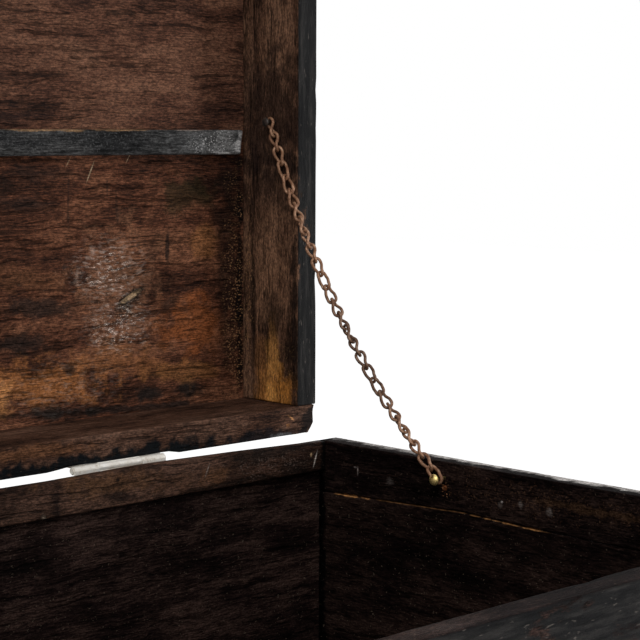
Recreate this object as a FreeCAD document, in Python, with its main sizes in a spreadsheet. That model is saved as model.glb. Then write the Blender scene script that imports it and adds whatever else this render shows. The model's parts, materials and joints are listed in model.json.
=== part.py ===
"""Old plank donation box with a hinged tray lid, a coin slot, a hasp and a stay chain.

The origin is the middle of the underside. X runs to the right, Y to the rear and Z up, in millimetres.
Every lid piece is drawn as it lies when the lid is shut, and is then swung open about the hinge axis.
"""
import FreeCAD, Part
import math
import os
import re
import Sketcher
from FreeCAD import Placement, Rotation, Vector

# Driving dimensions, in millimetres and degrees
SIZES = {
    "box_width": 760,
    "box_depth": 456,
    "rim_height": 300,
    "wall_thickness": 19,
    "base_thickness": 19,
    "strip_height": 37,
    "rail_thickness": 8,
    "rail_height": 23,
    "rear_bevel": 5,
    "edge_ease": 1.2,
    "lid_seat_gap": 0.4,
    "lid_rim_thickness": 20,
    "lid_rim_height": 65,
    "lid_plank_thickness": 18,
    "lid_open_angle": 90,
    "plank_gap": 0.8,
    "batten_width": 17,
    "batten_thickness": 8,
    "batten_end_gap": 0.5,
    "batten_end_bevel": 5,
    "slot_length": 112,
    "slot_width": 9,
    "slot_margin": 2,
    "slot_forward": 70,
    "slot_plate_length": 150,
    "slot_plate_width": 42,
    "slot_plate_thickness": 2,
    "hinge_inset": 198,
    "hinge_length": 82,
    "middle_knuckle": 38,
    "knuckle_gap": 0.3,
    "leaf_height": 30,
    "leaf_thickness": 1.6,
    "barrel_radius": 3,
    "barrel_standoff": 0.3,
    "pin_radius": 1.4,
    "pin_clearance": 0.05,
    "pin_button_radius": 2.2,
    "pin_button_length": 1,
    "screw_head_radius": 3.6,
    "screw_shank_radius": 1.7,
    "screw_length": 15,
    "screw_slot_width": 1,
    "screw_slot_depth": 0.8,
    "screw_end_margin": 12,
    "fastener_clearance": 0.05,
    "nail_shank": 3,
    "nail_head": 8,
    "nail_head_height": 2,
    "nail_length": 50,
    "nail_sink": 3,
    "tack_shank": 2,
    "tack_head": 5,
    "tack_head_height": 1.4,
    "tack_length": 14,
    "tack_margin": 7,
    "hasp_width": 36,
    "hasp_rise": 14,
    "hasp_leaf_height": 38,
    "hasp_plate_thickness": 2.5,
    "hasp_barrel_radius": 3.6,
    "hasp_middle_knuckle": 16,
    "hasp_wood_gap": 0.5,
    "strap_length": 64,
    "strap_corner": 9,
    "staple_drop": 44,
    "staple_rod_radius": 3,
    "staple_half_span": 9.5,
    "staple_leg_reach": 10,
    "staple_play": 1.2,
    "link_count": 27,
    "upper_link_count": 10,
    "swing_link_count": 7,
    "link_wire": 2.5,
    "link_inner_length": 12.4,
    "link_inner_width": 4,
    "link_play": 0.5,
    "link_twist": 66,
    "link_turn": 23.3,
    "chain_droop": 14.4,
    "chain_wall_gap": 5,
    "chain_nail_radius": 1.3,
    "chain_nail_play": 0.3,
    "chain_nail_grip": 13,
    "wall_nail_forward": 123.5,
    "wall_nail_drop": 12,
    "wall_nail_head_radius": 4.2,
    "wall_nail_head_height": 2.8,
    "lid_nail_depth": 27,
    "lid_nail_head_radius": 3.6,
    "lid_nail_head_height": 1.8,
}

doc = FreeCAD.newDocument("DonationBox")
sheet = doc.addObject("Spreadsheet::Sheet", "Sizes")
for row, (alias, value) in enumerate(SIZES.items(), start=1):
    sheet.set(f"A{row}", alias)
    sheet.set(f"B{row}", str(value))
    sheet.setAlias(f"B{row}", alias)
doc.recompute()

nodes = {}
lid_nodes = []


def size(alias):
    return float(sheet.get(alias))


def bound(formula):
    """A formula in the aliases of the sheet, written as the document's own expression."""
    return re.sub(r"[a-z_]+", lambda word: f"Sizes.{word[0]}" if word[0] in SIZES else word[0], formula)


def bind(feature, **formulas):
    for name, formula in formulas.items():
        feature.setExpression(name, bound(formula))


def keep(name, feature, on_lid=False):
    """Records a finished sub-part under the name that its file takes."""
    feature.Label = name
    nodes[name] = feature
    if on_lid:
        lid_nodes.append(feature)
    return feature


# Plain working values read from the sheet
half_width = size("box_width") / 2
half_depth = size("box_depth") / 2
rim = size("rim_height")
wall = size("wall_thickness")
base = size("base_thickness")
lid_rim = size("lid_rim_thickness")
lid_seat = rim + size("lid_seat_gap")
plank_under = lid_seat + size("lid_rim_height")
lid_top = plank_under + size("lid_plank_thickness")
axis_y = half_depth + size("barrel_radius") + size("barrel_standoff")
axis_z = rim + size("lid_seat_gap") / 2
clearance = size("fastener_clearance")
lid_swing = Placement(
    Vector(0, 0, 0), Rotation(Vector(1, 0, 0), -size("lid_open_angle")), Vector(0, axis_y, axis_z)
)


def rectangle(length, depth):
    return [("0", "0"), (length, "0"), (length, depth), ("0", depth)]


def sawn(name, corners, pad_length, at, plane="XY_Plane", ease="edge_ease"):
    """A sawn piece: corner formulas joined into an outline, padded, then eased along every edge."""
    body = doc.addObject("PartDesign::Body", name)
    outline = body.newObject("Sketcher::SketchObject", f"{name}_outline")
    support = next(feature for feature in body.Origin.OriginFeatures if feature.Role == plane)
    outline.AttachmentSupport = [(support, "")]
    outline.MapMode = "FlatFace"
    count = len(corners)
    starts = [Vector(2 + math.cos(2 * math.pi * i / count), 2 + math.sin(2 * math.pi * i / count), 0)
              for i in range(count)]
    for i in range(count):
        outline.addGeometry(Part.LineSegment(starts[i], starts[(i + 1) % count]), False)
    for i in range(count):
        outline.addConstraint(Sketcher.Constraint("Coincident", i, 2, (i + 1) % count, 1))
    for i, (across, up) in enumerate(corners):
        for kind, formula, start in (("DistanceX", across, starts[i].x), ("DistanceY", up, starts[i].y)):
            number = outline.addConstraint(Sketcher.Constraint(kind, -1, 1, i, 1, start))
            outline.setExpression(f"Constraints[{number}]", bound(formula))
    pad = body.newObject("PartDesign::Pad", f"{name}_pad")
    pad.Profile = outline
    bind(pad, Length=pad_length)
    doc.recompute()
    if ease:
        eased = body.newObject("PartDesign::Chamfer", f"{name}_eased")
        eased.Base = (pad, [f"Edge{i + 1}" for i in range(len(pad.Shape.Edges))])
        bind(eased, Size=ease)
    body.Placement.Base = Vector(*at)
    return body


def block(name, length, width, height, at):
    """A square sided block, sized by formulas, with its low corner at a point."""
    piece = doc.addObject("Part::Box", name)
    bind(piece, Length=length, Width=width, Height=height)
    piece.Placement.Base = Vector(*at)
    return piece


def rod(name, radius, length, at, along=Vector(1, 0, 0)):
    """A round rod, sized by formulas, that starts at a point and runs along a direction."""
    piece = doc.addObject("Part::Cylinder", name)
    bind(piece, Radius=radius, Height=length)
    piece.Placement = Placement(Vector(*at), Rotation(Vector(0, 0, 1), along))
    return piece


def joined(name, pieces):
    whole = doc.addObject("Part::MultiFuse", name)
    whole.Shapes = pieces
    return whole


def cut_by(name, piece, *tools):
    """The piece with each tool cut out of it in turn."""
    for number, tool in enumerate(tools):
        left = doc.addObject("Part::Cut", f"{name}_cut_{number}")
        left.Base = piece
        left.Tool = tool
        piece = left
    return piece


def group(name, shapes):
    """Separate solids kept together under one name."""
    feature = doc.addObject("Part::Feature", name)
    feature.Shape = Part.makeCompound(shapes)
    return feature


def square_loft(stations):
    """A solid through level squares, each given as a width and a height."""
    rings = []
    for width, level in stations:
        half = width / 2
        corners = [Vector(x * half, y * half, level) for x, y in ((-1, -1), (1, -1), (1, 1), (-1, 1))]
        rings.append(Part.makePolygon(corners + corners[:1]))
    return Part.makeLoft(rings, True, True)


def driven(shape, point, direction):
    """A fastener drawn along -Z, driven at a point in a direction."""
    placed = shape.copy()
    placed.Placement = Placement(Vector(*point), Rotation(Vector(0, 0, -1), Vector(*direction)))
    return placed


def forged_nail(kind):
    """A nail with a square shank, a drawn point and a four sided rose head that sits on the surface."""
    shank, head = size(f"{kind}_shank"), size(f"{kind}_head")
    rise, length = size(f"{kind}_head_height"), size(f"{kind}_length")
    body = square_loft([(shank / 3, -length), (shank, -length + 2 * shank), (shank, 0)])
    rose = square_loft([(head, 0), (0.8 * head, 0.4 * rise), (0.25 * head, rise)])
    return body.fuse(rose).removeSplitter().Solids[0]


def nail_hole(kind):
    """The room that a forged nail takes in the wood."""
    width = size(f"{kind}_shank") + 2 * clearance
    return square_loft([(width, -size(f"{kind}_length") - clearance), (width, 0)])


def turned(profile):
    """A solid turned about Z from radius and height pairs that start and end on the axis."""
    points = [Vector(radius, 0, level) for radius, level in profile]
    face = Part.Face(Part.makePolygon(points + points[:1]))
    return face.revolve(Vector(0, 0, 0), Vector(0, 0, 1), 360)


def wood_screw(room=0):
    """A slotted countersunk screw whose head is flush at Z = 0, or the room it needs in what it holds."""
    head, shank = size("screw_head_radius") + room, size("screw_shank_radius") + room
    length = size("screw_length") + room
    body = turned([(0, 0), (head, 0), (shank, shank - head), (shank, -length), (0, -length)])
    if room:
        return body
    slot_width, slot_depth = size("screw_slot_width"), size("screw_slot_depth")
    slot = Part.makeBox(2 * head, slot_width, slot_depth, Vector(-head, -slot_width / 2, -slot_depth))
    return body.cut(slot).Solids[0]


# Nails of the box: corners through the front and rear boards, and the base nailed up from below
board_height = rim - base - size("strip_height")
corner_levels = [base + share * board_height for share in (0.2, 0.5, 0.8)]
corner_levels.append(rim - size("strip_height") / 2)
plank_depth = size("box_depth") / 3
side_line = half_width - wall / 2
corner_nails = []
base_nails = []
for side in (-side_line, side_line):
    for level in corner_levels:
        corner_nails.append(((side, -half_depth, level), (0, 1, 0)))
        corner_nails.append(((side, half_depth, level), (0, -1, 0)))
    for plank in range(3):
        for share in (0.3, 0.7):
            base_nails.append(((side, -half_depth + (plank + share) * plank_depth, size("nail_sink")), (0, 0, 1)))
nail = forged_nail("nail")
box_nail_places = corner_nails + base_nails
keep("box_nails", group("box_nails", [driven(nail, *place) for place in box_nail_places]))
sink_width = size("nail_head") + 1
sink = Part.makeBox(sink_width, sink_width, size("nail_sink"), Vector(-sink_width / 2, -sink_width / 2, 0))
nail_room = [driven(nail_hole("nail"), *place) for place in box_nail_places]
nail_room += [driven(sink, *place) for place in base_nails]
box_nail_holes = group("box_nail_holes", nail_room)

# Hinge screws, three to a leaf
screw_reach = size("hinge_length") / 2 - size("screw_end_margin")
screw_rise = (size("leaf_height") + size("barrel_radius") + size("knuckle_gap")) / 2
hinge_centres = {"right": half_width - size("hinge_inset"), "left": size("hinge_inset") - half_width}
screw_face = half_depth + size("leaf_thickness")
screw_places = {}
for part, level in (("box", axis_z - screw_rise), ("lid", axis_z + screw_rise)):
    screw_places[part] = [
        ((centre + step * screw_reach, screw_face, level), (0, -1, 0))
        for centre in hinge_centres.values() for step in (-1, 0, 1)
    ]
screw_holes = {
    part: group(f"{part}_screw_holes", [driven(wood_screw(clearance), *place) for place in places])
    for part, places in screw_places.items()
}
for part, places in screw_places.items():
    screws = group(f"hinge_{part}_screws", [driven(wood_screw(), *place) for place in places])
    keep(f"hinge_{part}_screws", screws, on_lid=part == "lid")

# Staple in the front board: a bent rod in the plane X = 0 whose legs pass through the wood
hasp_axis_y = -half_depth - size("hasp_barrel_radius") - size("barrel_standoff")
hasp_axis_z = lid_seat + size("hasp_rise")
staple_z = hasp_axis_z - size("staple_drop")
staple_bend_y = -half_depth - size("staple_leg_reach")
leg_levels = [staple_z - size("staple_half_span"), staple_z + size("staple_half_span")]
bend = doc.addObject("Part::Torus", "staple_bend")
bind(bend, Radius1="staple_half_span", Radius2="staple_rod_radius")
bend.Angle3 = 180
bend.Placement = Placement(
    Vector(0, staple_bend_y, staple_z), Rotation(Vector(0, 0, 1), Vector(0, -1, 0), Vector(1, 0, 0), "ZXY")
)
legs = [
    rod(f"staple_leg_{i}", "staple_rod_radius", "staple_leg_reach + wall_thickness",
        (0, staple_bend_y, level), Vector(0, 1, 0))
    for i, level in enumerate(leg_levels)
]
keep("staple", joined("staple", [bend] + legs))
leg_holes = [
    rod(f"staple_hole_{i}", "staple_rod_radius + fastener_clearance", "staple_leg_reach + 2 * wall_thickness",
        (0, staple_bend_y, level), Vector(0, 1, 0))
    for i, level in enumerate(leg_levels)
]

# Chain: nails, and the arc that the links hang in, worked out in the Y-Z plane beside the right wall
pitch = size("link_inner_length") - size("link_play")
link_count = int(size("link_count"))
nail_reach = size("link_inner_length") / 2 - size("chain_nail_play") - size("chain_nail_radius")
droop = math.radians(size("chain_droop"))
chain_length = (link_count - 1) * pitch + 2 * nail_reach
chain_radius = chain_length / (2 * droop)
chain_span = 2 * chain_radius * math.sin(droop)
link_half_width = size("link_inner_width") / 2 + size("link_wire")
chain_x = half_width - max(wall, lid_rim) - size("chain_wall_gap")
rail_face = half_depth - wall - size("rail_thickness")
wall_nail_y = rail_face - size("wall_nail_forward")
wall_nail_z = rim - size("wall_nail_drop")
lid_nail_y = axis_y + lid_seat - axis_z + size("lid_nail_depth")
lid_nail_z = wall_nail_z + math.sqrt(chain_span**2 - (lid_nail_y - wall_nail_y) ** 2)
chain_slope = math.atan2(lid_nail_z - wall_nail_z, lid_nail_y - wall_nail_y)


def chain_nail(kind, wood_face, room=0):
    """A round nail that stands out of the wood so that a link hangs behind its domed head."""
    shank = size("chain_nail_radius") + room
    neck = wood_face - chain_x + link_half_width + size("chain_nail_play")
    depth = neck + size("chain_nail_grip") + room
    if room:
        return turned([(0, 0), (shank, 0), (shank, -depth), (0, -depth)])
    head, rise = size(f"{kind}_head_radius"), size(f"{kind}_head_height")
    dome = [(head * math.cos(turn), rise * math.sin(turn)) for turn in (0, math.pi / 6, math.pi / 3)]
    profile = [(0, rise)] + dome[::-1] + [(shank, 0), (shank, -depth + shank), (0, -depth)]
    return turned(profile)


chain_head_x = chain_x - link_half_width - size("chain_nail_play")
wall_nail_place = ((chain_head_x, wall_nail_y, wall_nail_z), (1, 0, 0))
wall_face = half_width - wall
keep("chain_wall_nail", group("chain_wall_nail", [driven(chain_nail("wall_nail", wall_face), *wall_nail_place)]))
wall_nail_hole = group("wall_nail_hole", [driven(chain_nail("wall_nail", wall_face, clearance), *wall_nail_place)])
shut_lid_nail = lid_swing.inverse().multVec(Vector(chain_head_x, lid_nail_y, lid_nail_z))
lid_nail_place = (tuple(shut_lid_nail), (1, 0, 0))
lid_face = half_width - lid_rim
lid_nail = group("chain_lid_nail", [driven(chain_nail("lid_nail", lid_face), *lid_nail_place)])
keep("chain_lid_nail", lid_nail, on_lid=True)
lid_nail_hole = group("lid_nail_hole", [driven(chain_nail("lid_nail", lid_face, clearance), *lid_nail_place)])

# Box boards: the front and rear run full width, the sides stand between them on the base planks
for number, place in enumerate(("front", "middle", "rear")):
    plank = sawn(f"base_blank_{place}", rectangle("box_width", "box_depth / 3"), "base_thickness",
                 (-half_width, -half_depth + number * plank_depth, 0))
    keep(f"base_plank_{place}", cut_by(f"base_plank_{place}", plank, box_nail_holes))
front = sawn("front_blank", rectangle("box_width", "wall_thickness"), "rim_height - base_thickness",
             (-half_width, -half_depth, base))
keep("front_board", cut_by("front_board", front, box_nail_holes, *leg_holes))
rear_outline = [
    ("0", "0"),
    ("wall_thickness", "0"),
    ("wall_thickness", "rim_height - base_thickness - rear_bevel"),
    ("0", "rim_height - base_thickness"),
]
rear = sawn("rear_blank", rear_outline, "box_width", (-half_width, half_depth - wall, base), plane="YZ_Plane")
keep("rear_board", cut_by("rear_board", rear, box_nail_holes, screw_holes["box"]))
for side, left_edge in (("left", -half_width), ("right", half_width - wall)):
    plan = rectangle("wall_thickness", "box_depth - 2 * wall_thickness")
    lower = sawn(f"{side}_blank", plan, "rim_height - base_thickness - strip_height",
                 (left_edge, -half_depth + wall, base))
    keep(f"{side}_board", cut_by(f"{side}_board", lower, box_nail_holes))
    upper = sawn(f"{side}_strip_blank", plan, "strip_height",
                 (left_edge, -half_depth + wall, rim - size("strip_height")))
    tools = [box_nail_holes, wall_nail_hole] if side == "right" else [box_nail_holes]
    keep(f"{side}_strip", cut_by(f"{side}_strip", upper, *tools))
keep("hinge_rail", sawn("hinge_rail", rectangle("box_width - 2 * wall_thickness", "rail_thickness"), "rail_height",
                        (-half_width + wall, rail_face, rim - size("rail_height"))))

# Lid nails: through the planks into the rims, and through the front and rear rims into the side rims
lid_nail_places = []
for side in (-half_width + lid_rim / 2, half_width - lid_rim / 2):
    for share in (0.15, 0.4):
        for end in (-1, 1):
            lid_nail_places.append(((side, end * (half_depth - share * size("box_depth")), lid_top), (0, 0, -1)))
    for level in (0.3, 0.7):
        height = lid_seat + level * size("lid_rim_height")
        lid_nail_places.append(((side, -half_depth, height), (0, 1, 0)))
        lid_nail_places.append(((side, half_depth, height), (0, -1, 0)))
for end in (-1, 1):
    for share in (-0.3, -0.1, 0.1, 0.3):
        line = end * (half_depth - lid_rim / 2)
        lid_nail_places.append(((share * size("box_width"), line, lid_top), (0, 0, -1)))
keep("lid_nails", group("lid_nails", [driven(nail, *place) for place in lid_nail_places]), on_lid=True)
lid_nail_holes = group("lid_nail_holes", [driven(nail_hole("nail"), *place) for place in lid_nail_places])

# Tacks of the coin plate and of the hasp leaf
slot_y = -size("slot_forward")
tack_margin = size("tack_margin")
plate_reach = size("slot_plate_length") / 2 - tack_margin
plate_depth = size("slot_plate_width") / 2 - tack_margin
plate_face = lid_top + size("slot_plate_thickness")
tack_places = [
    ((x * plate_reach, slot_y + y * plate_depth, plate_face), (0, 0, -1)) for x in (-1, 1) for y in (-1, 1)
]
hasp_reach = size("hasp_width") / 2 - tack_margin
hasp_face = -half_depth - size("hasp_plate_thickness")
hasp_knuckle_top = hasp_axis_z + size("hasp_barrel_radius") + size("knuckle_gap")
hasp_top = hasp_axis_z + size("hasp_leaf_height")
for level in (hasp_knuckle_top + tack_margin, hasp_top - tack_margin):
    for x in (-1, 1):
        tack_places.append(((x * hasp_reach, hasp_face, level), (0, 1, 0)))
tack = forged_nail("tack")
keep("plate_tacks", group("plate_tacks", [driven(tack, *place) for place in tack_places]), on_lid=True)
tack_holes = group("tack_holes", [driven(nail_hole("tack"), *place) for place in tack_places])

# Lid: four rims, two planks with the coin slot in the front one, and the batten over their joint
for end, at_y in (("front", -half_depth), ("rear", half_depth - lid_rim)):
    rail = sawn(f"lid_rim_{end}_blank", rectangle("box_width", "lid_rim_thickness"), "lid_rim_height",
                (-half_width, at_y, lid_seat))
    tools = [lid_nail_holes, tack_holes if end == "front" else screw_holes["lid"]]
    keep(f"lid_rim_{end}", cut_by(f"lid_rim_{end}", rail, *tools), on_lid=True)
for side, at_x in (("left", -half_width), ("right", half_width - lid_rim)):
    plan = rectangle("lid_rim_thickness", "box_depth - 2 * lid_rim_thickness")
    rail = sawn(f"lid_rim_{side}_blank", plan, "lid_rim_height", (at_x, -half_depth + lid_rim, lid_seat))
    tools = [lid_nail_holes, lid_nail_hole] if side == "right" else [lid_nail_holes]
    keep(f"lid_rim_{side}", cut_by(f"lid_rim_{side}", rail, *tools), on_lid=True)
slot_room = block("slot_room", "slot_length + 2 * slot_margin", "slot_width + 2 * slot_margin",
                  "2 * lid_plank_thickness",
                  (-size("slot_length") / 2 - size("slot_margin"),
                   slot_y - size("slot_width") / 2 - size("slot_margin"),
                   plank_under - size("lid_plank_thickness") / 2))
for end, at_y in (("front", -half_depth), ("rear", size("plank_gap") / 2)):
    plank = sawn(f"lid_plank_{end}_blank", rectangle("box_width", "(box_depth - plank_gap) / 2"),
                 "lid_plank_thickness", (-half_width, at_y, plank_under))
    tools = [lid_nail_holes, tack_holes, slot_room] if end == "front" else [lid_nail_holes]
    keep(f"lid_plank_{end}", cut_by(f"lid_plank_{end}", plank, *tools), on_lid=True)
batten_length = "(box_width - 2 * lid_rim_thickness - 2 * batten_end_gap)"
batten_outline = [
    ("batten_end_bevel", "0"),
    (f"{batten_length} - batten_end_bevel", "0"),
    (batten_length, "batten_thickness"),
    ("0", "batten_thickness"),
]
batten_at = (-half_width + lid_rim + size("batten_end_gap"), size("batten_width") / 2,
             plank_under - size("batten_thickness"))
keep("joint_batten", sawn("joint_batten", batten_outline, "batten_width", batten_at, plane="XZ_Plane"), on_lid=True)

# Coin slot plate on the front plank
plate = sawn("slot_plate_blank", rectangle("slot_plate_length", "slot_plate_width"), "slot_plate_thickness",
             (-size("slot_plate_length") / 2, slot_y - size("slot_plate_width") / 2, lid_top), ease=None)
slot = block("slot_cut", "slot_length", "slot_width", "3 * slot_plate_thickness",
             (-size("slot_length") / 2, slot_y - size("slot_width") / 2, lid_top - size("slot_plate_thickness")))
keep("coin_slot_plate", cut_by("coin_slot_plate", plate, slot, tack_holes), on_lid=True)


def knuckle(name, radius, thickness, length, at_x, tab_y, axis, rise):
    """One rolled eye of a leaf about an axis along X, with the tab that ties it to the leaf."""
    eye = rod(f"{name}_eye", radius, length, (at_x, *axis))
    tab_z = axis[1] if rise > 0 else axis[1] + rise
    tab = block(f"{name}_tab", length, thickness, f"{radius} + knuckle_gap", (at_x, tab_y, tab_z))
    return [eye, tab]


# Butt hinges, screwed to the rear faces of the box and of the lid
end_knuckle = "((hinge_length - middle_knuckle) / 2 - knuckle_gap)"
tab_rise = size("barrel_radius") + size("knuckle_gap")
for side, centre in hinge_centres.items():
    low_x = centre - size("hinge_length") / 2
    far_x = centre + size("middle_knuckle") / 2 + size("knuckle_gap")
    bore = rod(f"{side}_bore", "pin_radius + pin_clearance", "hinge_length", (low_x, axis_y, axis_z))
    leaf_reach = "leaf_height - barrel_radius - knuckle_gap"
    box_leaf = [block(f"{side}_box_plate", "hinge_length", "leaf_thickness", leaf_reach,
                      (low_x, half_depth, axis_z - size("leaf_height")))]
    for number, at_x in enumerate((low_x, far_x)):
        box_leaf += knuckle(f"{side}_box_{number}", "barrel_radius", "leaf_thickness", end_knuckle, at_x,
                            half_depth, (axis_y, axis_z), -tab_rise)
    whole = joined(f"{side}_box_leaf_whole", box_leaf)
    keep(f"{side}_hinge_box_leaf", cut_by(f"{side}_hinge_box_leaf", whole, bore, screw_holes["box"]))
    lid_leaf = [block(f"{side}_lid_plate", "hinge_length", "leaf_thickness", leaf_reach,
                      (low_x, half_depth, axis_z + tab_rise))]
    lid_leaf += knuckle(f"{side}_lid", "barrel_radius", "leaf_thickness", "middle_knuckle",
                        centre - size("middle_knuckle") / 2, half_depth, (axis_y, axis_z), tab_rise)
    whole = joined(f"{side}_lid_leaf_whole", lid_leaf)
    keep(f"{side}_hinge_lid_leaf", cut_by(f"{side}_hinge_lid_leaf", whole, bore, screw_holes["lid"]), on_lid=True)
    pin = [rod(f"{side}_pin_rod", "pin_radius", "hinge_length", (low_x, axis_y, axis_z))]
    for end, at_x in (("low", low_x - size("pin_button_length")), ("far", low_x + size("hinge_length"))):
        pin.append(rod(f"{side}_pin_{end}", "pin_button_radius", "pin_button_length", (at_x, axis_y, axis_z)))
    keep(f"{side}_hinge_pin", joined(f"{side}_hinge_pin", pin))

# Hasp: a leaf tacked to the lid's front, and a slotted strap shown folded back over it
hasp_low_x = -size("hasp_width") / 2
hasp_axis = (hasp_axis_y, hasp_axis_z)
hasp_end_knuckle = "((hasp_width - hasp_middle_knuckle) / 2 - knuckle_gap)"
hasp_far_x = size("hasp_middle_knuckle") / 2 + size("knuckle_gap")
hasp_rise = size("hasp_barrel_radius") + size("knuckle_gap")
hasp_bore = rod("hasp_bore", "pin_radius + pin_clearance", "hasp_width", (hasp_low_x, *hasp_axis))
hasp_leaf = [block("hasp_plate", "hasp_width", "hasp_plate_thickness",
                   "hasp_leaf_height - hasp_barrel_radius - knuckle_gap",
                   (hasp_low_x, hasp_face, hasp_knuckle_top))]
for number, at_x in enumerate((hasp_low_x, hasp_far_x)):
    hasp_leaf += knuckle(f"hasp_leaf_{number}", "hasp_barrel_radius", "hasp_plate_thickness", hasp_end_knuckle,
                         at_x, hasp_face, hasp_axis, hasp_rise)
hasp_leaf_whole = joined("hasp_leaf_whole", hasp_leaf)
keep("hasp_leaf", cut_by("hasp_leaf", hasp_leaf_whole, hasp_bore, tack_holes), on_lid=True)

# Hanging shut, the strap lies a little off the wood; folded back it lies as far beyond the pin
strap_back = hasp_axis_y - (-half_depth - size("hasp_wood_gap") - hasp_axis_y)
strap_reach = "(strap_length - hasp_barrel_radius - knuckle_gap)"
strap_outline = [
    ("0", "0"),
    ("hasp_width", "0"),
    ("hasp_width", f"{strap_reach} - strap_corner"),
    ("hasp_width - strap_corner", strap_reach),
    ("strap_corner", strap_reach),
    ("0", f"{strap_reach} - strap_corner"),
]
strap_front = strap_back + size("hasp_plate_thickness")
strap_plate = sawn("strap_plate", strap_outline, "hasp_plate_thickness",
                   (hasp_low_x, strap_front, hasp_knuckle_top), plane="XZ_Plane", ease=None)
strap_eye = knuckle("strap", "hasp_barrel_radius", "hasp_plate_thickness", "hasp_middle_knuckle",
                    -size("hasp_middle_knuckle") / 2, strap_back, hasp_axis, hasp_rise)
strap_slot_height = "2 * (staple_half_span + staple_rod_radius + staple_play)"
strap_slot_width = "2 * (staple_rod_radius + staple_play)"
slot_half_height = size("staple_half_span") + size("staple_rod_radius") + size("staple_play")
strap_slot = block("strap_slot", strap_slot_width, "3 * hasp_plate_thickness", strap_slot_height,
                   (-size("staple_rod_radius") - size("staple_play"), strap_back - size("hasp_plate_thickness"),
                    hasp_axis_z + size("staple_drop") - slot_half_height))
strap_whole = joined("strap_whole", [strap_plate] + strap_eye)
keep("hasp_strap", cut_by("hasp_strap", strap_whole, hasp_bore, strap_slot), on_lid=True)
hasp_pin = [rod("hasp_pin_rod", "pin_radius", "hasp_width", (hasp_low_x, *hasp_axis))]
for end, at_x in (("low", hasp_low_x - size("pin_button_length")), ("far", -hasp_low_x)):
    hasp_pin.append(rod(f"hasp_pin_{end}", "pin_button_radius", "pin_button_length", (at_x, *hasp_axis)))
keep("hasp_pin", joined("hasp_pin", hasp_pin), on_lid=True)


def twisted_link():
    """One link of the chain: a wire bent to a long loop and twisted, so that its two bows cross their neighbours.

    Its long axis is Z. The wire is faceted, in rings of eight corners round the loop.
    """
    bow_steps, side_steps, wire_sides = 6, 3, 8
    radius = size("link_wire") / 2
    bow = size("link_inner_width") / 2 + radius
    straight = size("link_inner_length") / 2 + radius - bow
    half_twist = math.radians(size("link_twist")) / 2
    loop = []
    for end in (1, -1):
        for step in range(bow_steps + 1):
            turn = math.pi * step / bow_steps
            loop.append((end * bow * math.cos(turn), end * (straight + bow * math.sin(turn))))
        for step in range(1, side_steps):
            loop.append((-end * bow, end * straight * (1 - 2 * step / side_steps)))

    def wound(across, level):
        turn = half_twist * math.sin(math.pi / 2 * max(-1, min(1, level / straight)))
        return Vector(across * math.cos(turn), across * math.sin(turn), level)

    centres = [wound(*point) for point in loop]
    rings = []
    for i, centre in enumerate(centres):
        ahead = (centres[(i + 1) % len(centres)] - centre).normalize()
        along = (ahead + (centre - centres[i - 1]).normalize()).normalize()
        outward = wound(1, centre.z) - Vector(0, 0, centre.z)
        normal = Vector(0, 0, 1).cross(outward)
        normal = (normal - along * normal.dot(along)).normalize()
        flank = along.cross(normal)
        turns = [2 * math.pi * (k + 0.5) / wire_sides for k in range(wire_sides)]
        rings.append([centre + normal * (radius * math.cos(a)) + flank * (radius * math.sin(a)) for a in turns])
    facets = []
    for i, ring in enumerate(rings):
        following = rings[(i + 1) % len(rings)]
        for k in range(wire_sides):
            a, b = ring[k], ring[(k + 1) % wire_sides]
            c, d = following[(k + 1) % wire_sides], following[k]
            for corners in ((a, b, c), (a, c, d)):
                facets.append(Part.Face(Part.makePolygon([*corners, corners[0]])))
    solid = Part.Solid(Part.Shell(facets))
    if solid.Volume < 0:
        solid.reverse()
    return solid


# The links hang along the arc, numbered from the lid's nail, each turned a little further than the last
link = twisted_link()
arc_middle = Vector(chain_x, (wall_nail_y + lid_nail_y) / 2, (wall_nail_z + lid_nail_z) / 2)
to_arc = chain_slope - math.pi / 2
arc_centre = arc_middle - Vector(0, math.cos(to_arc), math.sin(to_arc)) * (chain_radius * math.cos(droop))
links = []
for number in range(link_count):
    swing = droop - (nail_reach + number * pitch) / chain_radius
    reach = Vector(0, math.cos(to_arc + swing), math.sin(to_arc + swing))
    heading = Vector(0, math.cos(chain_slope + swing), math.sin(chain_slope + swing))
    across = Vector(0, -heading.z, heading.y)
    turn = number * size("link_turn") - size("link_twist") / 2
    facing = Rotation(across, Vector(1, 0, 0), heading, "ZXY").multiply(Rotation(Vector(0, 0, 1), turn))
    hung = link.copy()
    hung.Placement = Placement(arc_centre + reach * chain_radius, facing)
    links.append(hung)
upper_count = int(size("upper_link_count"))
lower_start = upper_count + int(size("swing_link_count"))
keep("chain_upper_links", group("chain_upper_links", links[:upper_count]))
for number in range(upper_count, lower_start):
    keep(f"chain_link_{number + 1}", group(f"chain_link_{number + 1}", [links[number]]))
keep("chain_lower_links", group("chain_lower_links", links[lower_start:]))

# Swing the lid open, then check and write every sub-part
for piece in lid_nodes:
    piece.Placement = lid_swing.multiply(piece.Placement)
doc.recompute()
for feature in doc.Objects:
    if {"Invalid", "Error"} & set(feature.State):
        raise RuntimeError(f"{feature.Label} failed: {feature.State}")
os.makedirs("parts", exist_ok=True)
for name, feature in nodes.items():
    if feature.Shape.isNull() or not feature.Shape.isValid() or not feature.Shape.Solids:
        raise RuntimeError(f"{name} has no valid solid")
    feature.Shape.exportStep(f"parts/{name}.step")
print(f"{len(nodes)} sub-parts, chain of {link_count} links at {pitch:.2f} mm pitch")
print(f"lid nail {lid_nail_z - axis_z:.1f} mm above the hinge axis, chain arc radius {chain_radius:.0f} mm")
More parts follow.
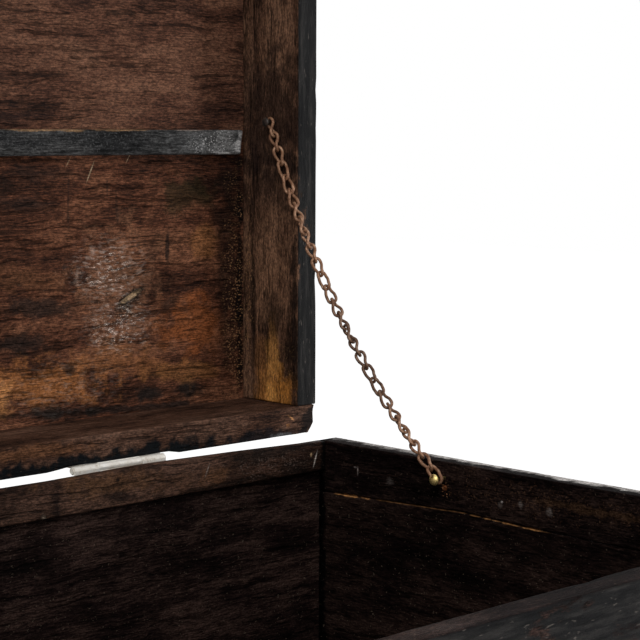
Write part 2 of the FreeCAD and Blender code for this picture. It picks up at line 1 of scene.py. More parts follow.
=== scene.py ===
# %% [markdown]
# # An old plank donation box
#
# The box is a nailed chest of dark waxed planks. Its tray-shaped lid stands open on two butt hinges, held by
# a chain of twisted links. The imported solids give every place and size, so each piece is made in metres in
# their frame and rides on the body that carries it.

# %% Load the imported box
import json
import math

import bpy
import numpy as np
from mathutils import Matrix, Vector, noise


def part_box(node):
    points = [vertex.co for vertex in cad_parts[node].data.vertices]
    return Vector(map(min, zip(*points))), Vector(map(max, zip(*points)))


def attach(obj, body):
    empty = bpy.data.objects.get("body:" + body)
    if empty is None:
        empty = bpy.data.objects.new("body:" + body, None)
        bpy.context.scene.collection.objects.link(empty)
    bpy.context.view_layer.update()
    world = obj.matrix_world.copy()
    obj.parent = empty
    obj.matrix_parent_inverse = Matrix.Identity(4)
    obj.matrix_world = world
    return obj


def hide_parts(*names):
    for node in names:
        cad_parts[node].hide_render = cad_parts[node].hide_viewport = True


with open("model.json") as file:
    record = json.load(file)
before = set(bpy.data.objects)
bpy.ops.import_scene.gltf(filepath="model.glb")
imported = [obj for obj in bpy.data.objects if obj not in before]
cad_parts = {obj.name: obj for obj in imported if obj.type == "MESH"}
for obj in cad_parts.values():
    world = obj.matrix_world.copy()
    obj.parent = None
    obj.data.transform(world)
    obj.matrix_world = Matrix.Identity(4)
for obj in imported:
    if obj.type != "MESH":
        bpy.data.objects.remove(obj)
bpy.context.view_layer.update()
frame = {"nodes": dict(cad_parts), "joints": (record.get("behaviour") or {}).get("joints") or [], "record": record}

MM = 0.001
bodies = frame["record"]["behaviour"]["bodies"]
body_of_node = {node: body for body, members in bodies.items() for node in members}
slot_of_node = {entry["node"]: entry["material_slot"] for entry in frame["record"]["subparts"]}
joint_point = {joint["name"]: Vector(joint["pos_m"]) for joint in frame["joints"]}
print(f"{len(frame['nodes'])} solids on {len(bodies)} bodies")

# %% [markdown]
# ## The camera
#
# The photograph looks from the front left into the right rear corner. Aiming a camera at a point leaves its
# roll out, so its axes come from a heading, a dip and a roll, found by fitting the box's edges. The lens is
# long and far away, so those edges stay nearly parallel.

# %% Set up the camera
CAMERA_PLACE = Vector((-614.6, -792.6, 539.4)) * MM
CAMERA_HEADING = math.radians(44.28)
CAMERA_DIP = math.radians(5.95)
CAMERA_ROLL = math.radians(0.22)
LENS, SENSOR_WIDTH = 102.08, 36

ahead = Vector((math.sin(CAMERA_HEADING) * math.cos(CAMERA_DIP),
                math.cos(CAMERA_HEADING) * math.cos(CAMERA_DIP), -math.sin(CAMERA_DIP)))
level = Vector((math.cos(CAMERA_HEADING), -math.sin(CAMERA_HEADING), 0))
above = level.cross(ahead)
right = level * math.cos(CAMERA_ROLL) + above * math.sin(CAMERA_ROLL)
upright = above * math.cos(CAMERA_ROLL) - level * math.sin(CAMERA_ROLL)
camera_data = bpy.data.cameras.new("photo_camera")
camera_data.sensor_width = SENSOR_WIDTH
camera_data.lens = LENS
camera = bpy.data.objects.new("photo_camera", camera_data)
camera_axes = Matrix((right, upright, -ahead)).transposed().to_4x4()
camera.matrix_world = Matrix.Translation(CAMERA_PLACE) @ camera_axes
scene = bpy.context.scene
scene.collection.objects.link(camera)
scene.camera = camera
print(f"camera {LENS} mm lens, {CAMERA_PLACE.length:.2f} m from the middle of the underside")

# %% [markdown]
# ## Light and backdrop
#
# A catalogue picture has a white ground and large soft lamps. Stronger lamps would whiten the ground, but
# bleach the dark wood too. So the white comes from the world, where only the camera and reflections see it,
# and the floor is lifted to white in the same way, so it keeps the box's shadow.

# %% Make the white world
scene.view_settings.view_transform = "Standard"


def put(tree, kind, inputs=(), **settings):
    """Adds a node. Each input is a socket with a value, or with the output that feeds it."""
    node = tree.nodes.new(kind)
    for key, value in settings.items():
        setattr(node, key, value)
    for socket, value in dict(inputs).items():
        if isinstance(value, bpy.types.NodeSocket):
            tree.links.new(value, node.inputs[socket])
        else:
            node.inputs[socket].default_value = value
    return node


def seen_directly(tree):
    """One for camera, glossy and transmission rays, and zero for light that falls on the object."""
    path = put(tree, "ShaderNodeLightPath")
    seen = path.outputs["Is Camera Ray"]
    for ray in ("Is Glossy Ray", "Is Transmission Ray"):
        seen = put(tree, "ShaderNodeMath", {0: seen, 1: path.outputs[ray]}, operation="MAXIMUM").outputs[0]
    return seen


AMBIENT, WHITE = 0.32, (1, 1, 1, 1)
world = bpy.data.worlds.new("white_studio")
scene.world = world
world.use_nodes = True
tree = world.node_tree
tree.nodes.clear()
soft_light = put(tree, "ShaderNodeBackground", {"Color": WHITE, "Strength": AMBIENT})
white_ground = put(tree, "ShaderNodeBackground", {"Color": WHITE, "Strength": 1.0})
either = put(tree, "ShaderNodeMixShader",
             {0: seen_directly(tree), 1: soft_light.outputs[0], 2: white_ground.outputs[0]})
put(tree, "ShaderNodeOutputWorld", {"Surface": either.outputs[0]})
print(f"white world that gives {AMBIENT} of light")

# %% Lay the floor
FLOOR_REACH, FLOOR_DROP = 6.0, 0.5 * MM
FLOOR_COLOUR, FLOOR_LIFT = (0.86, 0.86, 0.85, 1), 0.74
floor_mesh = bpy.data.meshes.new("floor")
corners = [(x * FLOOR_REACH, y * FLOOR_REACH, -FLOOR_DROP) for x, y in ((-1, -1), (1, -1), (1, 1), (-1, 1))]
floor_mesh.from_pydata(corners, [], [(0, 1, 2, 3)])
floor = bpy.data.objects.new("floor", floor_mesh)
scene.collection.objects.link(floor)
floor_finish = bpy.data.materials.new("pale_floor")
floor_finish.use_nodes = True
tree = floor_finish.node_tree
tree.nodes.clear()
pale = put(tree, "ShaderNodeBsdfDiffuse", {"Color": FLOOR_COLOUR})
lift = put(tree, "ShaderNodeMath", {0: seen_directly(tree), 1: FLOOR_LIFT}, operation="MULTIPLY")
glow = put(tree, "ShaderNodeEmission", {"Color": WHITE, "Strength": lift.outputs[0]})
lifted = put(tree, "ShaderNodeAddShader", {0: pale.outputs[0], 1: glow.outputs[0]})
put(tree, "ShaderNodeOutputMaterial", {"Surface": lifted.outputs[0]})
floor_mesh.materials.append(floor_finish)
print(f"floor {2 * FLOOR_REACH:.0f} m across")


# %% Set a key lamp above the camera, and a low one on the right for the gloss
def softbox(name, place, target, width, height, power):
    """A rectangular lamp that points at a target."""
    lamp = bpy.data.lights.new(name, "AREA")
    lamp.shape = "RECTANGLE"
    lamp.size, lamp.size_y = width, height
    lamp.energy = power
    holder = bpy.data.objects.new(name, lamp)
    holder.location = place
    holder.rotation_euler = (Vector(target) - Vector(place)).to_track_quat("-Z", "Y").to_euler()
    scene.collection.objects.link(holder)
    print(f"{name} of {power} W")


softbox("key_lamp", place=(-1.5, -1.5, 2.0), target=(0.15, 0.2, 0.4), width=1.4, height=1.4, power=42)
softbox("gloss_lamp", place=(1.35, -1.15, 0.42), target=(0.23, 0.30, 0.42), width=0.32, height=0.45, power=10)

# %% [markdown]
# ## Tools for finishes
#
# Old wood and rusty iron have no two places alike. A picture could be wrapped around them, but noise from
# shader nodes has real lengths and keeps its place on the piece when the lid moves. Each function here adds
# a few nodes, so the finishes below read like recipes.


# %% Helpers for numbers and colours
def start_finish(name):
    """A new material: its tree, its shader and the place on the object in metres."""
    material = bpy.data.materials.new(name)
    material.use_nodes = True
    tree = material.node_tree
    shader = tree.nodes["Principled BSDF"]
    place = put(tree, "ShaderNodeTexCoord").outputs["Object"]
    return material, tree, shader, place


def calc(tree, operation, first, second):
    """One step of arithmetic on two values."""
    return put(tree, "ShaderNodeMath", {0: first, 1: second}, operation=operation).outputs[0]


def times(tree, first, second):
    return calc(tree, "MULTIPLY", first, second)


def plus(tree, first, second):
    return calc(tree, "ADD", first, second)


def less(tree, first, second):
    return calc(tree, "SUBTRACT", first, second)


def between(tree, value, low, high):
    """Zero at low, one at high, and a smooth step from one to the other."""
    step = put(tree, "ShaderNodeMapRange", {"Value": value, "From Min": low, "From Max": high},
               interpolation_type="SMOOTHSTEP")
    return step.outputs["Result"]


def ramped(tree, value, low, high, gain, base):
    """The base where the value is at low, and the base with the gain where it is at high."""
    return plus(tree, times(tree, between(tree, value, low, high), gain), base)


def blend(tree, share, under, over):
    """One colour laid over another by a share."""
    mixed = put(tree, "ShaderNodeMix", {0: share, 6: under, 7: over}, data_type="RGBA")
    return mixed.outputs[2]


def scaled(tree, colour, share):
    """A colour made darker or lighter by a share."""
    return put(tree, "ShaderNodeVectorMath", {0: colour, "Scale": share}, operation="SCALE").outputs[0]


def colours(tree, value, stops):
    """A ramp of colours over a value."""
    ramp = put(tree, "ShaderNodeValToRGB", {"Fac": value})
    points = ramp.color_ramp.elements
    while len(points) < len(stops):
        points.new(0.5)
    for point, (at, colour) in zip(points, stops):
        point.position = at
        point.color = (*colour, 1)
    return ramp.outputs["Color"]


print("number and colour helpers ready")

# %% Helpers for noise and marks
GRAIN_TURN = {"X": (1, 0, 0), "Y": (0, 1, 0), "Z": (0, 0, 1)}


def stretched(tree, place, grain, along, across, shift=0.0):
    """The place scaled for noise, in cells per metre along the grain and across it."""
    scale = tuple(along if way else across for way in GRAIN_TURN[grain])
    moved = (shift, shift * 0.7, shift * 1.3)
    return put(tree, "ShaderNodeMapping", {"Vector": place, "Location": moved, "Scale": scale}).outputs[0]


def speckle(tree, vector, scale=1.0, detail=4.0, rough=0.55, bend=0.0):
    """Plain noise between zero and one."""
    inputs = {"Vector": vector, "Scale": scale, "Detail": detail, "Roughness": rough, "Distortion": bend}
    return put(tree, "ShaderNodeTexNoise", inputs).outputs[0]


def wandering(tree, place, amount, scale):
    """The place moved about by noise, so that the outline of a mark turns ragged."""
    wander = put(tree, "ShaderNodeTexNoise", {"Vector": place, "Scale": scale, "Detail": 3.0})
    centred = put(tree, "ShaderNodeVectorMath", {0: wander.outputs["Color"], 1: (0.5, 0.5, 0.5)},
                  operation="SUBTRACT")
    moved = put(tree, "ShaderNodeVectorMath", {0: centred.outputs[0], "Scale": amount}, operation="SCALE")
    return put(tree, "ShaderNodeVectorMath", {0: place, 1: moved.outputs[0]}, operation="ADD").outputs[0]


def oval(tree, place, centre, half, turn=0.0, fray=0.0, edge=(0.35, 1.0)):
    """A soft mark: its centre and half sizes in millimetres, and its turn about the Y axis in degrees."""
    local = put(tree, "ShaderNodeMapping", {
        "Vector": place, "Location": tuple(c * MM for c in centre),
        "Rotation": (0, math.radians(turn), 0), "Scale": tuple(h * MM for h in half)}, vector_type="TEXTURE")
    reach = put(tree, "ShaderNodeVectorMath", {0: local.outputs[0]}, operation="LENGTH").outputs["Value"]
    return between(tree, plus(tree, reach, fray), edge[1], edge[0])


print("noise and mark helpers ready")

# %% [markdown]
# ## Old waxed wood
#
# The planks were stained, waxed and knocked about for many years. One noise alone would look like marble, so
# seven layers are stretched along the grain, for stain, grain, cracked varnish, dust and wax. Marks are soft
# ovals, because a worn patch has to stay at its real place on the board.

# %% Make the layers of the wood
# Each layer: whether it wanders, cells per metre along and across, shift of seed, detail, roughness, bend.
WOOD_LAYERS = {
    "bands": (True, 7.0, 85.0, 0, 6.0, 0.66, 0.3),
    "cloud": (True, 11.0, 26.0, 3, 8.0, 0.68, 0.0),
    "fibres": (False, 110.0, 1000.0, 7, 5.0, 0.75, 0.0),
    "crackle": (False, 420.0, 760.0, 5, 3.0, 0.7, 0.0),
    "grooves": (True, 9.0, 300.0, 11, 4.0, 0.62, 0.0),
    "dots": (False, 520.0, 760.0, 17, 1.0, 0.55, 0.0),
    "ripple": (True, 150.0, 400.0, 21, 5.0, 0.62, 0.0),
}


def wood_layers(tree, place, grain, seed):
    """Every layer of noise for one board, and the ragged place that some of them follow."""
    ragged = wandering(tree, place, 0.012, 22.0)
    layers = {"ragged": ragged}
    for name, (wanders, along, across, shift, detail, rough, bend) in WOOD_LAYERS.items():
        spot = stretched(tree, ragged if wanders else place, grain, along, across, seed + shift)
        layers[name] = speckle(tree, spot, detail=detail, rough=rough, bend=bend)
    return layers


def stained(tree, layers, dark, middle, light):
    """The colour of the bare stained wood."""
    value = times(tree, between(tree, layers["cloud"], 0.34, 0.66), 0.46)
    value = plus(tree, value, times(tree, between(tree, layers["bands"], 0.33, 0.67), 0.32))
    value = plus(tree, value, times(tree, between(tree, layers["fibres"], 0.34, 0.66), 0.22))
    return colours(tree, value, [(0.16, dark), (0.46, middle), (0.82, light)])


print(f"{len(WOOD_LAYERS)} layers of noise for the wood")

# %% Lay marks, lines, dust and wax on the wood
DUST_COLOUR, WAX_TINT = (0.30, 0.23, 0.17, 1), (1.0, 0.86, 0.76, 1)
THIN_MARK = 1.0


def marked(tree, wood, place, marks, fray):
    """Ovals of colour. Only a thin scratch keeps a clean edge."""
    for centre, half, turn, colour, strength in marks:
        lies = oval(tree, place, centre, half, turn, 0.0 if min(half) < THIN_MARK else fray)
        wood = blend(tree, times(tree, lies, strength), wood, (*colour, 1))
    return wood


def lined(tree, wood, layers):
    """Darker between the fibres, in the grooves and in the cracks of the varnish."""
    wood = scaled(tree, wood, ramped(tree, layers["fibres"], 0.33, 0.64, 0.88, 0.50))
    wood = scaled(tree, wood, ramped(tree, layers["grooves"], 0.63, 0.55, 0.6, 0.4))
    return scaled(tree, wood, ramped(tree, layers["crackle"], 0.36, 0.64, 0.8, 0.56))


def dust_and_glints(tree, wood, place, layers, dust, grit_and_glints, fray):
    """Specks of dust all over, and pale specks within ovals, grit on some boards and painted glints and sheen on
    others.
    """
    wood = blend(tree, times(tree, between(tree, layers["dots"], 0.70, 0.78), dust), wood, DUST_COLOUR)
    for centre, half, colour, strength in grit_and_glints:
        specks = between(tree, layers["dots"], 0.56, 0.68)
        lies = times(tree, oval(tree, place, centre, half, 0.0, fray), specks)
        wood = blend(tree, times(tree, lies, strength), wood, (*colour, 1))
    return wood


def wax_over(tree, shader, layers, roughness, sheen, waxed):
    """Makes ovals shine in ripples, and gives the roughness that is left there."""
    shine, polish = sheen, 0.0
    for centre, half, strength in waxed:
        lies = times(tree, oval(tree, layers["ragged"], centre, half, edge=(0.0, 1.0)), strength)
        glint = ramped(tree, layers["ripple"], 0.46, 0.66, 3.6, 0.10)
        shine = calc(tree, "MAXIMUM", shine, times(tree, lies, glint))
        polish = calc(tree, "MAXIMUM", polish, lies)
    tree.links.new(shine, shader.inputs["Specular IOR Level"])
    shader.inputs["Specular Tint"].default_value = WAX_TINT
    return less(tree, roughness, times(tree, polish, 0.28))


print("marks, lines, dust and wax ready")

# %% Put the wood finish together
RELIEF_STRENGTH, RELIEF_DEPTH = 0.8, 1.6 * MM


def old_wood(name, grain, dark, middle, light, seed=0.0, gloss=0.5, marks=(), waxed=(), grit_and_glints=(), paint=None,
             sheen=0.05, dust=0.15):
    """Dark planking with any marks and paint that lie on it.

    A mark is an oval with a colour and a strength. A waxed place is an oval that shines. A grit_and_glints
    place is an oval with pale specks, grit on some boards and painted glints and sheen on others. Paint is a
    function that gives where black paint lies and its colour.
    """
    material, tree, shader, place = start_finish(name)
    layers = wood_layers(tree, place, grain, seed)
    fray = times(tree, less(tree, speckle(tree, place, 75.0, detail=5.0, rough=0.65), 0.5), 2.6)
    wood = stained(tree, layers, dark, middle, light)
    wood = marked(tree, wood, place, marks, fray)
    wood = lined(tree, wood, layers)
    wood = dust_and_glints(tree, wood, place, layers, dust, grit_and_glints, fray)
    roughness = less(tree, gloss + 0.14, times(tree, between(tree, layers["cloud"], 0.42, 0.70), 0.2))
    if waxed:
        roughness = wax_over(tree, shader, layers, roughness, sheen, waxed)
    else:
        shader.inputs["Specular IOR Level"].default_value = sheen
    if paint:
        covered, coat = paint(tree, place, grain)
        wood = blend(tree, covered, wood, coat)
        roughness = less(tree, roughness, times(tree, covered, 0.06))
    height = plus(tree, times(tree, layers["fibres"], 0.6), times(tree, layers["bands"], 1.2))
    height = plus(tree, height, times(tree, layers["crackle"], 0.5))
    height = less(tree, height, times(tree, between(tree, layers["grooves"], 0.55, 0.63), 0.4))
    bump = put(tree, "ShaderNodeBump",
               {"Height": height, "Strength": RELIEF_STRENGTH, "Distance": RELIEF_DEPTH})
    tree.links.new(wood, shader.inputs["Base Color"])
    tree.links.new(roughness, shader.inputs["Roughness"])
    tree.links.new(bump.outputs[0], shader.inputs["Normal"])
    return material


print("wood finish ready")

# %% [markdown]
# ## Worn black paint
#
# The outside of the box and the edges of the lid are black, rubbed through to the wood. A board could be
# split into painted and bare faces, but a material that asks which way a surface looks needs no seams, and
# its paint fades over the rounded edges as real paint does.


# %% Make the paint
def facing(tree, way):
    """How far a surface faces a way, read from the piece's own normal."""
    normal = put(tree, "ShaderNodeTexCoord").outputs["Normal"]
    turned = put(tree, "ShaderNodeVectorMath", {0: normal, 1: way}, operation="DOT_PRODUCT")
    return turned.outputs["Value"]


PAINT_STOPS = [(0.3, (0.004, 0.004, 0.0045)), (0.5, (0.012, 0.0118, 0.012)), (0.72, (0.042, 0.039, 0.037))]
NICK_COLOUR = (0.15, 0.13, 0.115, 1)


def black_paint(*ways, wear=0.38):
    """Paint on the faces that look one of these ways, rubbed through where the noise is low."""
    def lay(tree, place, grain):
        covered = 0.0
        for way in ways:
            covered = calc(tree, "MAXIMUM", covered, between(tree, facing(tree, way), 0.35, 0.8))
        rubbed = speckle(tree, stretched(tree, place, grain, 18.0, 46.0), detail=7.0, rough=0.7)
        covered = times(tree, covered, between(tree, rubbed, wear, wear + 0.07))
        streak = speckle(tree, stretched(tree, place, grain, 22.0, 210.0, 5.0), detail=6.0, rough=0.7)
        coat = colours(tree, streak, PAINT_STOPS)
        nicks = speckle(tree, stretched(tree, place, grain, 130.0, 460.0, 9.0), detail=2.0)
        coat = blend(tree, times(tree, between(tree, nicks, 0.64, 0.74), 0.6), coat, NICK_COLOUR)
        return covered, coat
    return lay


FRONT, BACK, LEFT, RIGHT, UP, DOWN = (0, -1, 0), (0, 1, 0), (-1, 0, 0), (1, 0, 0), (0, 0, 1), (0, 0, -1)
print("paint finish ready")

# %% [markdown]
# ## Boards with worn edges
#
# A board that has been handled for a long time has rounded, dented edges and faces that are no longer flat.
# A bevel modifier would round every edge alike. Here each board is a grid over its solid's box, fine beside
# the edges, and its points are drawn inwards by a radius that changes along the edge.

# %% Cut a grid over a board
EDGE_STATIONS = (0.0, 0.5, 1.2, 2.2, 3.6, 6.0, 10.0)


def stations(low, high, step, extra=()):
    """Cuts across one side of a board: close beside both edges, even between them, and any extra."""
    half = (high - low) / 2
    near = [d * MM for d in EDGE_STATIONS if d * MM < half * 0.9]
    inner = (high - low) - 2 * near[-1]
    count = max(1, round(inner / step))
    middle = [near[-1] + inner * i / count for i in range(1, count)]
    cuts = [low + d for d in near + middle] + [high - d for d in reversed(near)] + [e * MM for e in extra]
    return sorted(set(round(cut, 7) for cut in cuts))


def board_grid(low, high, step, extra):
    """The six faces of a box as one closed grid of points and quads."""
    cuts = [stations(low[axis], high[axis], step, extra[axis]) for axis in range(3)]
    last = [len(cut) - 1 for cut in cuts]
    index, points, faces = {}, [], []

    def corner(place):
        if place not in index:
            index[place] = len(points)
            points.append(Vector(cuts[axis][place[axis]] for axis in range(3)))
        return index[place]

    for axis in range(3):
        u, v = (axis + 1) % 3, (axis + 2) % 3
        for end in (0, last[axis]):
            for i in range(last[u]):
                for j in range(last[v]):
                    ring = []
                    for du, dv in ((0, 0), (1, 0), (1, 1), (0, 1)):
                        place = [0, 0, 0]
                        place[axis], place[u], place[v] = end, i + du, j + dv
                        ring.append(corner(tuple(place)))
                    faces.append(ring if end else ring[::-1])
    return points, faces


print(f"grids start {EDGE_STATIONS[1]} mm from an edge")

# %% Wear a board down
# Noise cells per metre for each kind of wear.
DENTS, NICKS, EASES, HOLLOWS, BOWS = 55, 150, 14, 60, 11


def wear_down(points, low, high, grain, ease, chip, hollow, seed):
    """Draws the points inwards: rounded and chipped edges, and shallow hollows along the grain."""
    drift = Vector((seed * 3.1, seed * 1.7, seed * 2.3))
    long_way = Vector(GRAIN_TURN[grain])
    for point in points:
        start = point.copy()
        spot = start + drift
        dent = max(0.0, noise.noise(spot * DENTS) - 0.18) * 2.2
        nick = max(0.0, noise.noise(spot * NICKS) - 0.30) * 2.0
        radius = (ease * (1 + 0.5 * noise.noise(spot * EASES)) + chip * (dent + 0.7 * nick)) * MM
        core = Vector(min(max(c, l + radius), h - radius) for c, l, h in zip(point, low, high))
        away = point - core
        if away.length > 1e-9:
            point[:] = core + away.normalized() * radius
        across = spot - long_way * spot.dot(long_way) * 0.88
        wave = 0.5 + 0.5 * noise.noise(across * HOLLOWS) * 0.6 + 0.25 * noise.noise(spot * BOWS)
        depth = hollow * MM * wave
        for axis in range(3):
            if abs(start[axis] - low[axis]) < 1e-6:
                point[axis] += max(0.0, depth)
            elif abs(start[axis] - high[axis]) < 1e-6:
                point[axis] -= max(0.0, depth)


print("board wear ready")


# %% Put a worn board in place of its solid
def add_mesh(node, ending, points, faces, material):
    """A smooth mesh in place of a node's solid, on the same body and with the given material."""
    name, body, slot = f"{node}_{ending}", body_of_node[node], slot_of_node[node]
    mesh = bpy.data.meshes.new(name)
    mesh.from_pydata([tuple(p) for p in points], [], faces)
    mesh.polygons.foreach_set("use_smooth", [True] * len(mesh.polygons))
    mesh.materials.append(material)
    mesh.update()
    piece = bpy.data.objects.new(name, mesh)
    scene.collection.objects.link(piece)
    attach(piece, body)
    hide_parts(node)
    return piece


def worn_board(node, grain, material, ease=1.3, chip=1.0, hollow=0.35, step=0.010, shape=None, grow=(0, 0, 0),
               extra=((), (), ())):
    """Replaces a board's solid with a worn one.

    Shape can move its points, grow moves its high sides, and extra adds cuts where the shape needs them.
    """
    low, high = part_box(node)
    high += Vector(grow) * MM
    points, faces = board_grid(low, high, step, extra)
    wear_down(points, low, high, grain, ease, chip, hollow, seed=sum(map(ord, node)) % 97)
    if shape:
        shape(points, low, high)
    print(f"{node}: {len(faces)} faces")
    return add_mesh(node, "worn", points, faces, material)


print("worn boards ready")

# %% [markdown]
# ## The lid planks
#
# The two lid planks are reddish brown inside, with dark stains, a waxed patch and one torn gouge. A stain
# could be painted by hand, but a list of ovals is easy to read and to move. Each has its place, half sizes,
# turn, colour and strength, in millimetres on the open lid.

# %% List the marks on the rear plank
STAIN, ORANGE_WOOD, PALE_WOOD = (0.013, 0.010, 0.009), (0.30, 0.125, 0.042), (0.42, 0.31, 0.20)
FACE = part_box("lid_plank_rear")[0].y / MM
rear_marks = [
    ((161, FACE, 410), (46, 30, 11), 5, STAIN, 0.8),
    ((140, FACE, 383), (34, 30, 10), 4, STAIN, 0.75),
    ((160, FACE, 352), (78, 12, 24), 5, (0.36, 0.138, 0.044), 0.62),
    ((235, FACE, 366), (56, 12, 18), 8, (0.24, 0.094, 0.036), 0.65),
    ((126, FACE, 346), (18, 12, 16), 0, (0.56, 0.25, 0.09), 0.6),
    ((175, FACE, 331), (46, 12, 8), 4, STAIN, 0.85),
    ((262, FACE, 336), (18, 12, 9), 4, STAIN, 0.9),
    ((303, FACE, 337), (18, 12, 8), 4, STAIN, 0.9),
    ((240, FACE, 327), (150, 12, 4), 3, STAIN, 0.8),
    ((306, FACE, 388), (46, 12, 28), 8, (0.20, 0.060, 0.018), 0.8),
    ((320, FACE, 451), (22, 12, 17), 20, ORANGE_WOOD, 0.45),
    ((268, FACE, 447), (12, 12, 20), 0, STAIN, 0.45),
    ((300, FACE, 490), (38, 30, 16), 0, (0.026, 0.018, 0.008), 0.75),
    ((298, FACE, 350), (52, 30, 11), 4, ORANGE_WOOD, 0.4),
    # This lighter oval under the waxed patch is a painted highlight.
    ((236, FACE, 425), (50, 12, 50), 20, (0.24, 0.108, 0.058), 0.5),
    ((150, FACE, 430), (50, 30, 12), 10, (0.15, 0.062, 0.030), 0.6),
    ((146, FACE, 486), (34, 30, 8), 4, STAIN, 0.5),
    # These two near-black bands along the corner with the right rim are painted shade.
    ((346, FACE, 430), (19, 12, 118), 0, (0.011, 0.006, 0.005), 0.8),
    ((357, FACE, 420), (5, 30, 130), 0, (0.004, 0.003, 0.003), 0.9),
    ((284, FACE, 405), (14, 30, 7), -30, STAIN, 0.7),
    ((282, FACE, 450), (2.4, 30, 17), 3, STAIN, 0.85),
    ((187, FACE, 362), (6, 30, 6), 0, STAIN, 0.8),
    ((188, FACE, 491), (1.6, 30, 21), 2, STAIN, 0.55),
    ((224, FACE, 497), (1.4, 30, 10), -2, STAIN, 0.5),
    ((233, FACE, 481), (1.5, 30, 18), -3, STAIN, 0.5),
    ((165, FACE, 508), (60, 30, 7), 0, STAIN, 0.5),
    # Around the gouge, the dark oval below and left of it is a painted shadow, and the near-black oval around the
    # slit is painted shade. The tan core is torn bare wood, painted lighter where its lower wall faces the light.
    ((240, FACE, 407), (20, 30, 7), -20, (0.014, 0.009, 0.007), 0.8),
    ((247, FACE, 413.6), (20, 10, 5.6), -26, (0.007, 0.005, 0.004), 1.0),
    ((247, FACE, 413.4), (13.5, 10, 2.6), -26, (0.50, 0.34, 0.20), 1.0),
    ((208.5, FACE, 508.5), (12, 30, 0.8), -65, PALE_WOOD, 0.8),
    ((188.5, FACE, 516), (6, 30, 0.6), -58, PALE_WOOD, 0.5),
    ((244, FACE, 518), (5, 30, 0.6), -58, PALE_WOOD, 0.6),
]
rear_waxed = [((226, FACE, 434), (50, 12, 36), 0.9), ((234, FACE, 392), (46, 12, 34), 1.0),
              ((180, FACE, 350), (90, 12, 34), 0.3)]
# The pale specks in the second and third ovals, in the waxed patch, are painted glints. The first oval holds
# orange grit by the right rim.
rear_grit_and_glints = [((352, FACE, 400), (16, 12, 120), (0.34, 0.18, 0.085), 0.8),
             ((226, FACE, 432), (48, 12, 38), (0.40, 0.245, 0.165), 0.25),
             ((232, FACE, 392), (46, 12, 34), (0.46, 0.285, 0.190), 0.35)]
print(f"{len(rear_marks)} marks on the rear plank")

# %% Finish and place the planks
plank_rear_wood = old_wood(
    "lid_plank_rear_wood", "X", (0.017, 0.0072, 0.0048), (0.086, 0.0320, 0.0175), (0.205, 0.086, 0.046),
    seed=2.0, gloss=0.30, marks=rear_marks, waxed=rear_waxed, grit_and_glints=rear_grit_and_glints, sheen=0.06,
    paint=black_paint(BACK, DOWN, RIGHT, LEFT))
plank_front_wood = old_wood(
    "lid_plank_front_wood", "X", (0.020, 0.0085, 0.006), (0.088, 0.037, 0.022), (0.16, 0.075, 0.045),
    seed=9.0, gloss=0.42, sheen=0.08, paint=black_paint(BACK, UP, RIGHT, LEFT))
GOUGE_MIDDLE, GOUGE_LEAN = Vector((246.5, 0, 413.5)) * MM, math.radians(25.7)
GOUGE_HALF_LENGTH, GOUGE_DEPTH, UPPER_LIP, LOWER_LIP = 15.5 * MM, 3.4 * MM, 1.9, 3.6


def tear_gouge(points, low, high):
    """Tears a slit into the inner face: deep in the middle, with its upper lip steeper than its lower one."""
    along = Vector((math.cos(GOUGE_LEAN), 0, math.sin(GOUGE_LEAN)))
    over = Vector((-math.sin(GOUGE_LEAN), 0, math.cos(GOUGE_LEAN)))
    for point in points:
        if point.y < low.y + 3 * MM:
            offset = point - GOUGE_MIDDLE
            u = offset.dot(along) / GOUGE_HALF_LENGTH
            v = offset.dot(over) / MM
            v = v / UPPER_LIP if v > 0 else v / LOWER_LIP
            point.y += GOUGE_DEPTH * max(0.0, 1 - u * u - v * v)


gouge_cuts = (np.arange(228, 266, 1.2), (), np.arange(402, 426, 0.8))
worn_board("lid_plank_rear", "X", plank_rear_wood, hollow=0.6, step=0.008, shape=tear_gouge, grow=(0, 0, 2.0),
           extra=gouge_cuts)
front_plank = worn_board("lid_plank_front", "X", plank_front_wood, hollow=0.6)

# %% [markdown]
# ## The lid rims
#
# Four boards on edge make the lid a tray. The right one is golden near its foot, where the wax is gone. The
# rear one sags clear of the hinges, and its right end is broken. A boolean could cut the break, but moving
# the end's points by noise keeps one clean mesh.

# %% Finish the side rims
RIM_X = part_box("lid_rim_right")[0].x / MM
rim_marks = [
    ((RIM_X, 263, 545), (30, 60, 75), 0, (0.012, 0.007, 0.006), 0.72),
    ((RIM_X, 263, 504), (30, 60, 36), 0, (0.014, 0.008, 0.007), 0.45),
    ((RIM_X, 267, 425), (30, 26, 62), 0, (0.26, 0.135, 0.078), 0.6),
    ((RIM_X, 257, 334), (30, 27, 26), 0, (0.50, 0.200, 0.040), 0.75),
    ((RIM_X, 261, 358), (30, 11, 34), 0, (0.50, 0.230, 0.062), 0.7),
    ((RIM_X, 276, 352), (30, 11, 40), 0, (0.20, 0.085, 0.030), 0.6),
    # This near-black band close to the corner with the panel is painted shade.
    ((RIM_X, 284, 390), (30, 5, 75), 0, (0.010, 0.006, 0.005), 0.75),
    ((RIM_X, 236, 400), (30, 5, 100), 0, (0.010, 0.007, 0.006), 0.85),
    ((RIM_X, 258, 392), (30, 12, 20), 0, (0.016, 0.009, 0.006), 0.75),
    ((RIM_X, 262, 330), (30, 9, 12), 0, (0.66, 0.32, 0.085), 0.6),
    ((RIM_X, 243, 366), (30, 8, 28), 0, (0.016, 0.009, 0.006), 0.85),
]
rim_grit = [((RIM_X, 290, 400), (30, 7, 110), (0.32, 0.17, 0.08), 0.7),
            ((RIM_X, 255, 345), (30, 20, 40), (0.42, 0.24, 0.10), 0.4)]
RIM_TONES = (0.013, 0.007, 0.005), (0.085, 0.042, 0.025), (0.190, 0.100, 0.060)
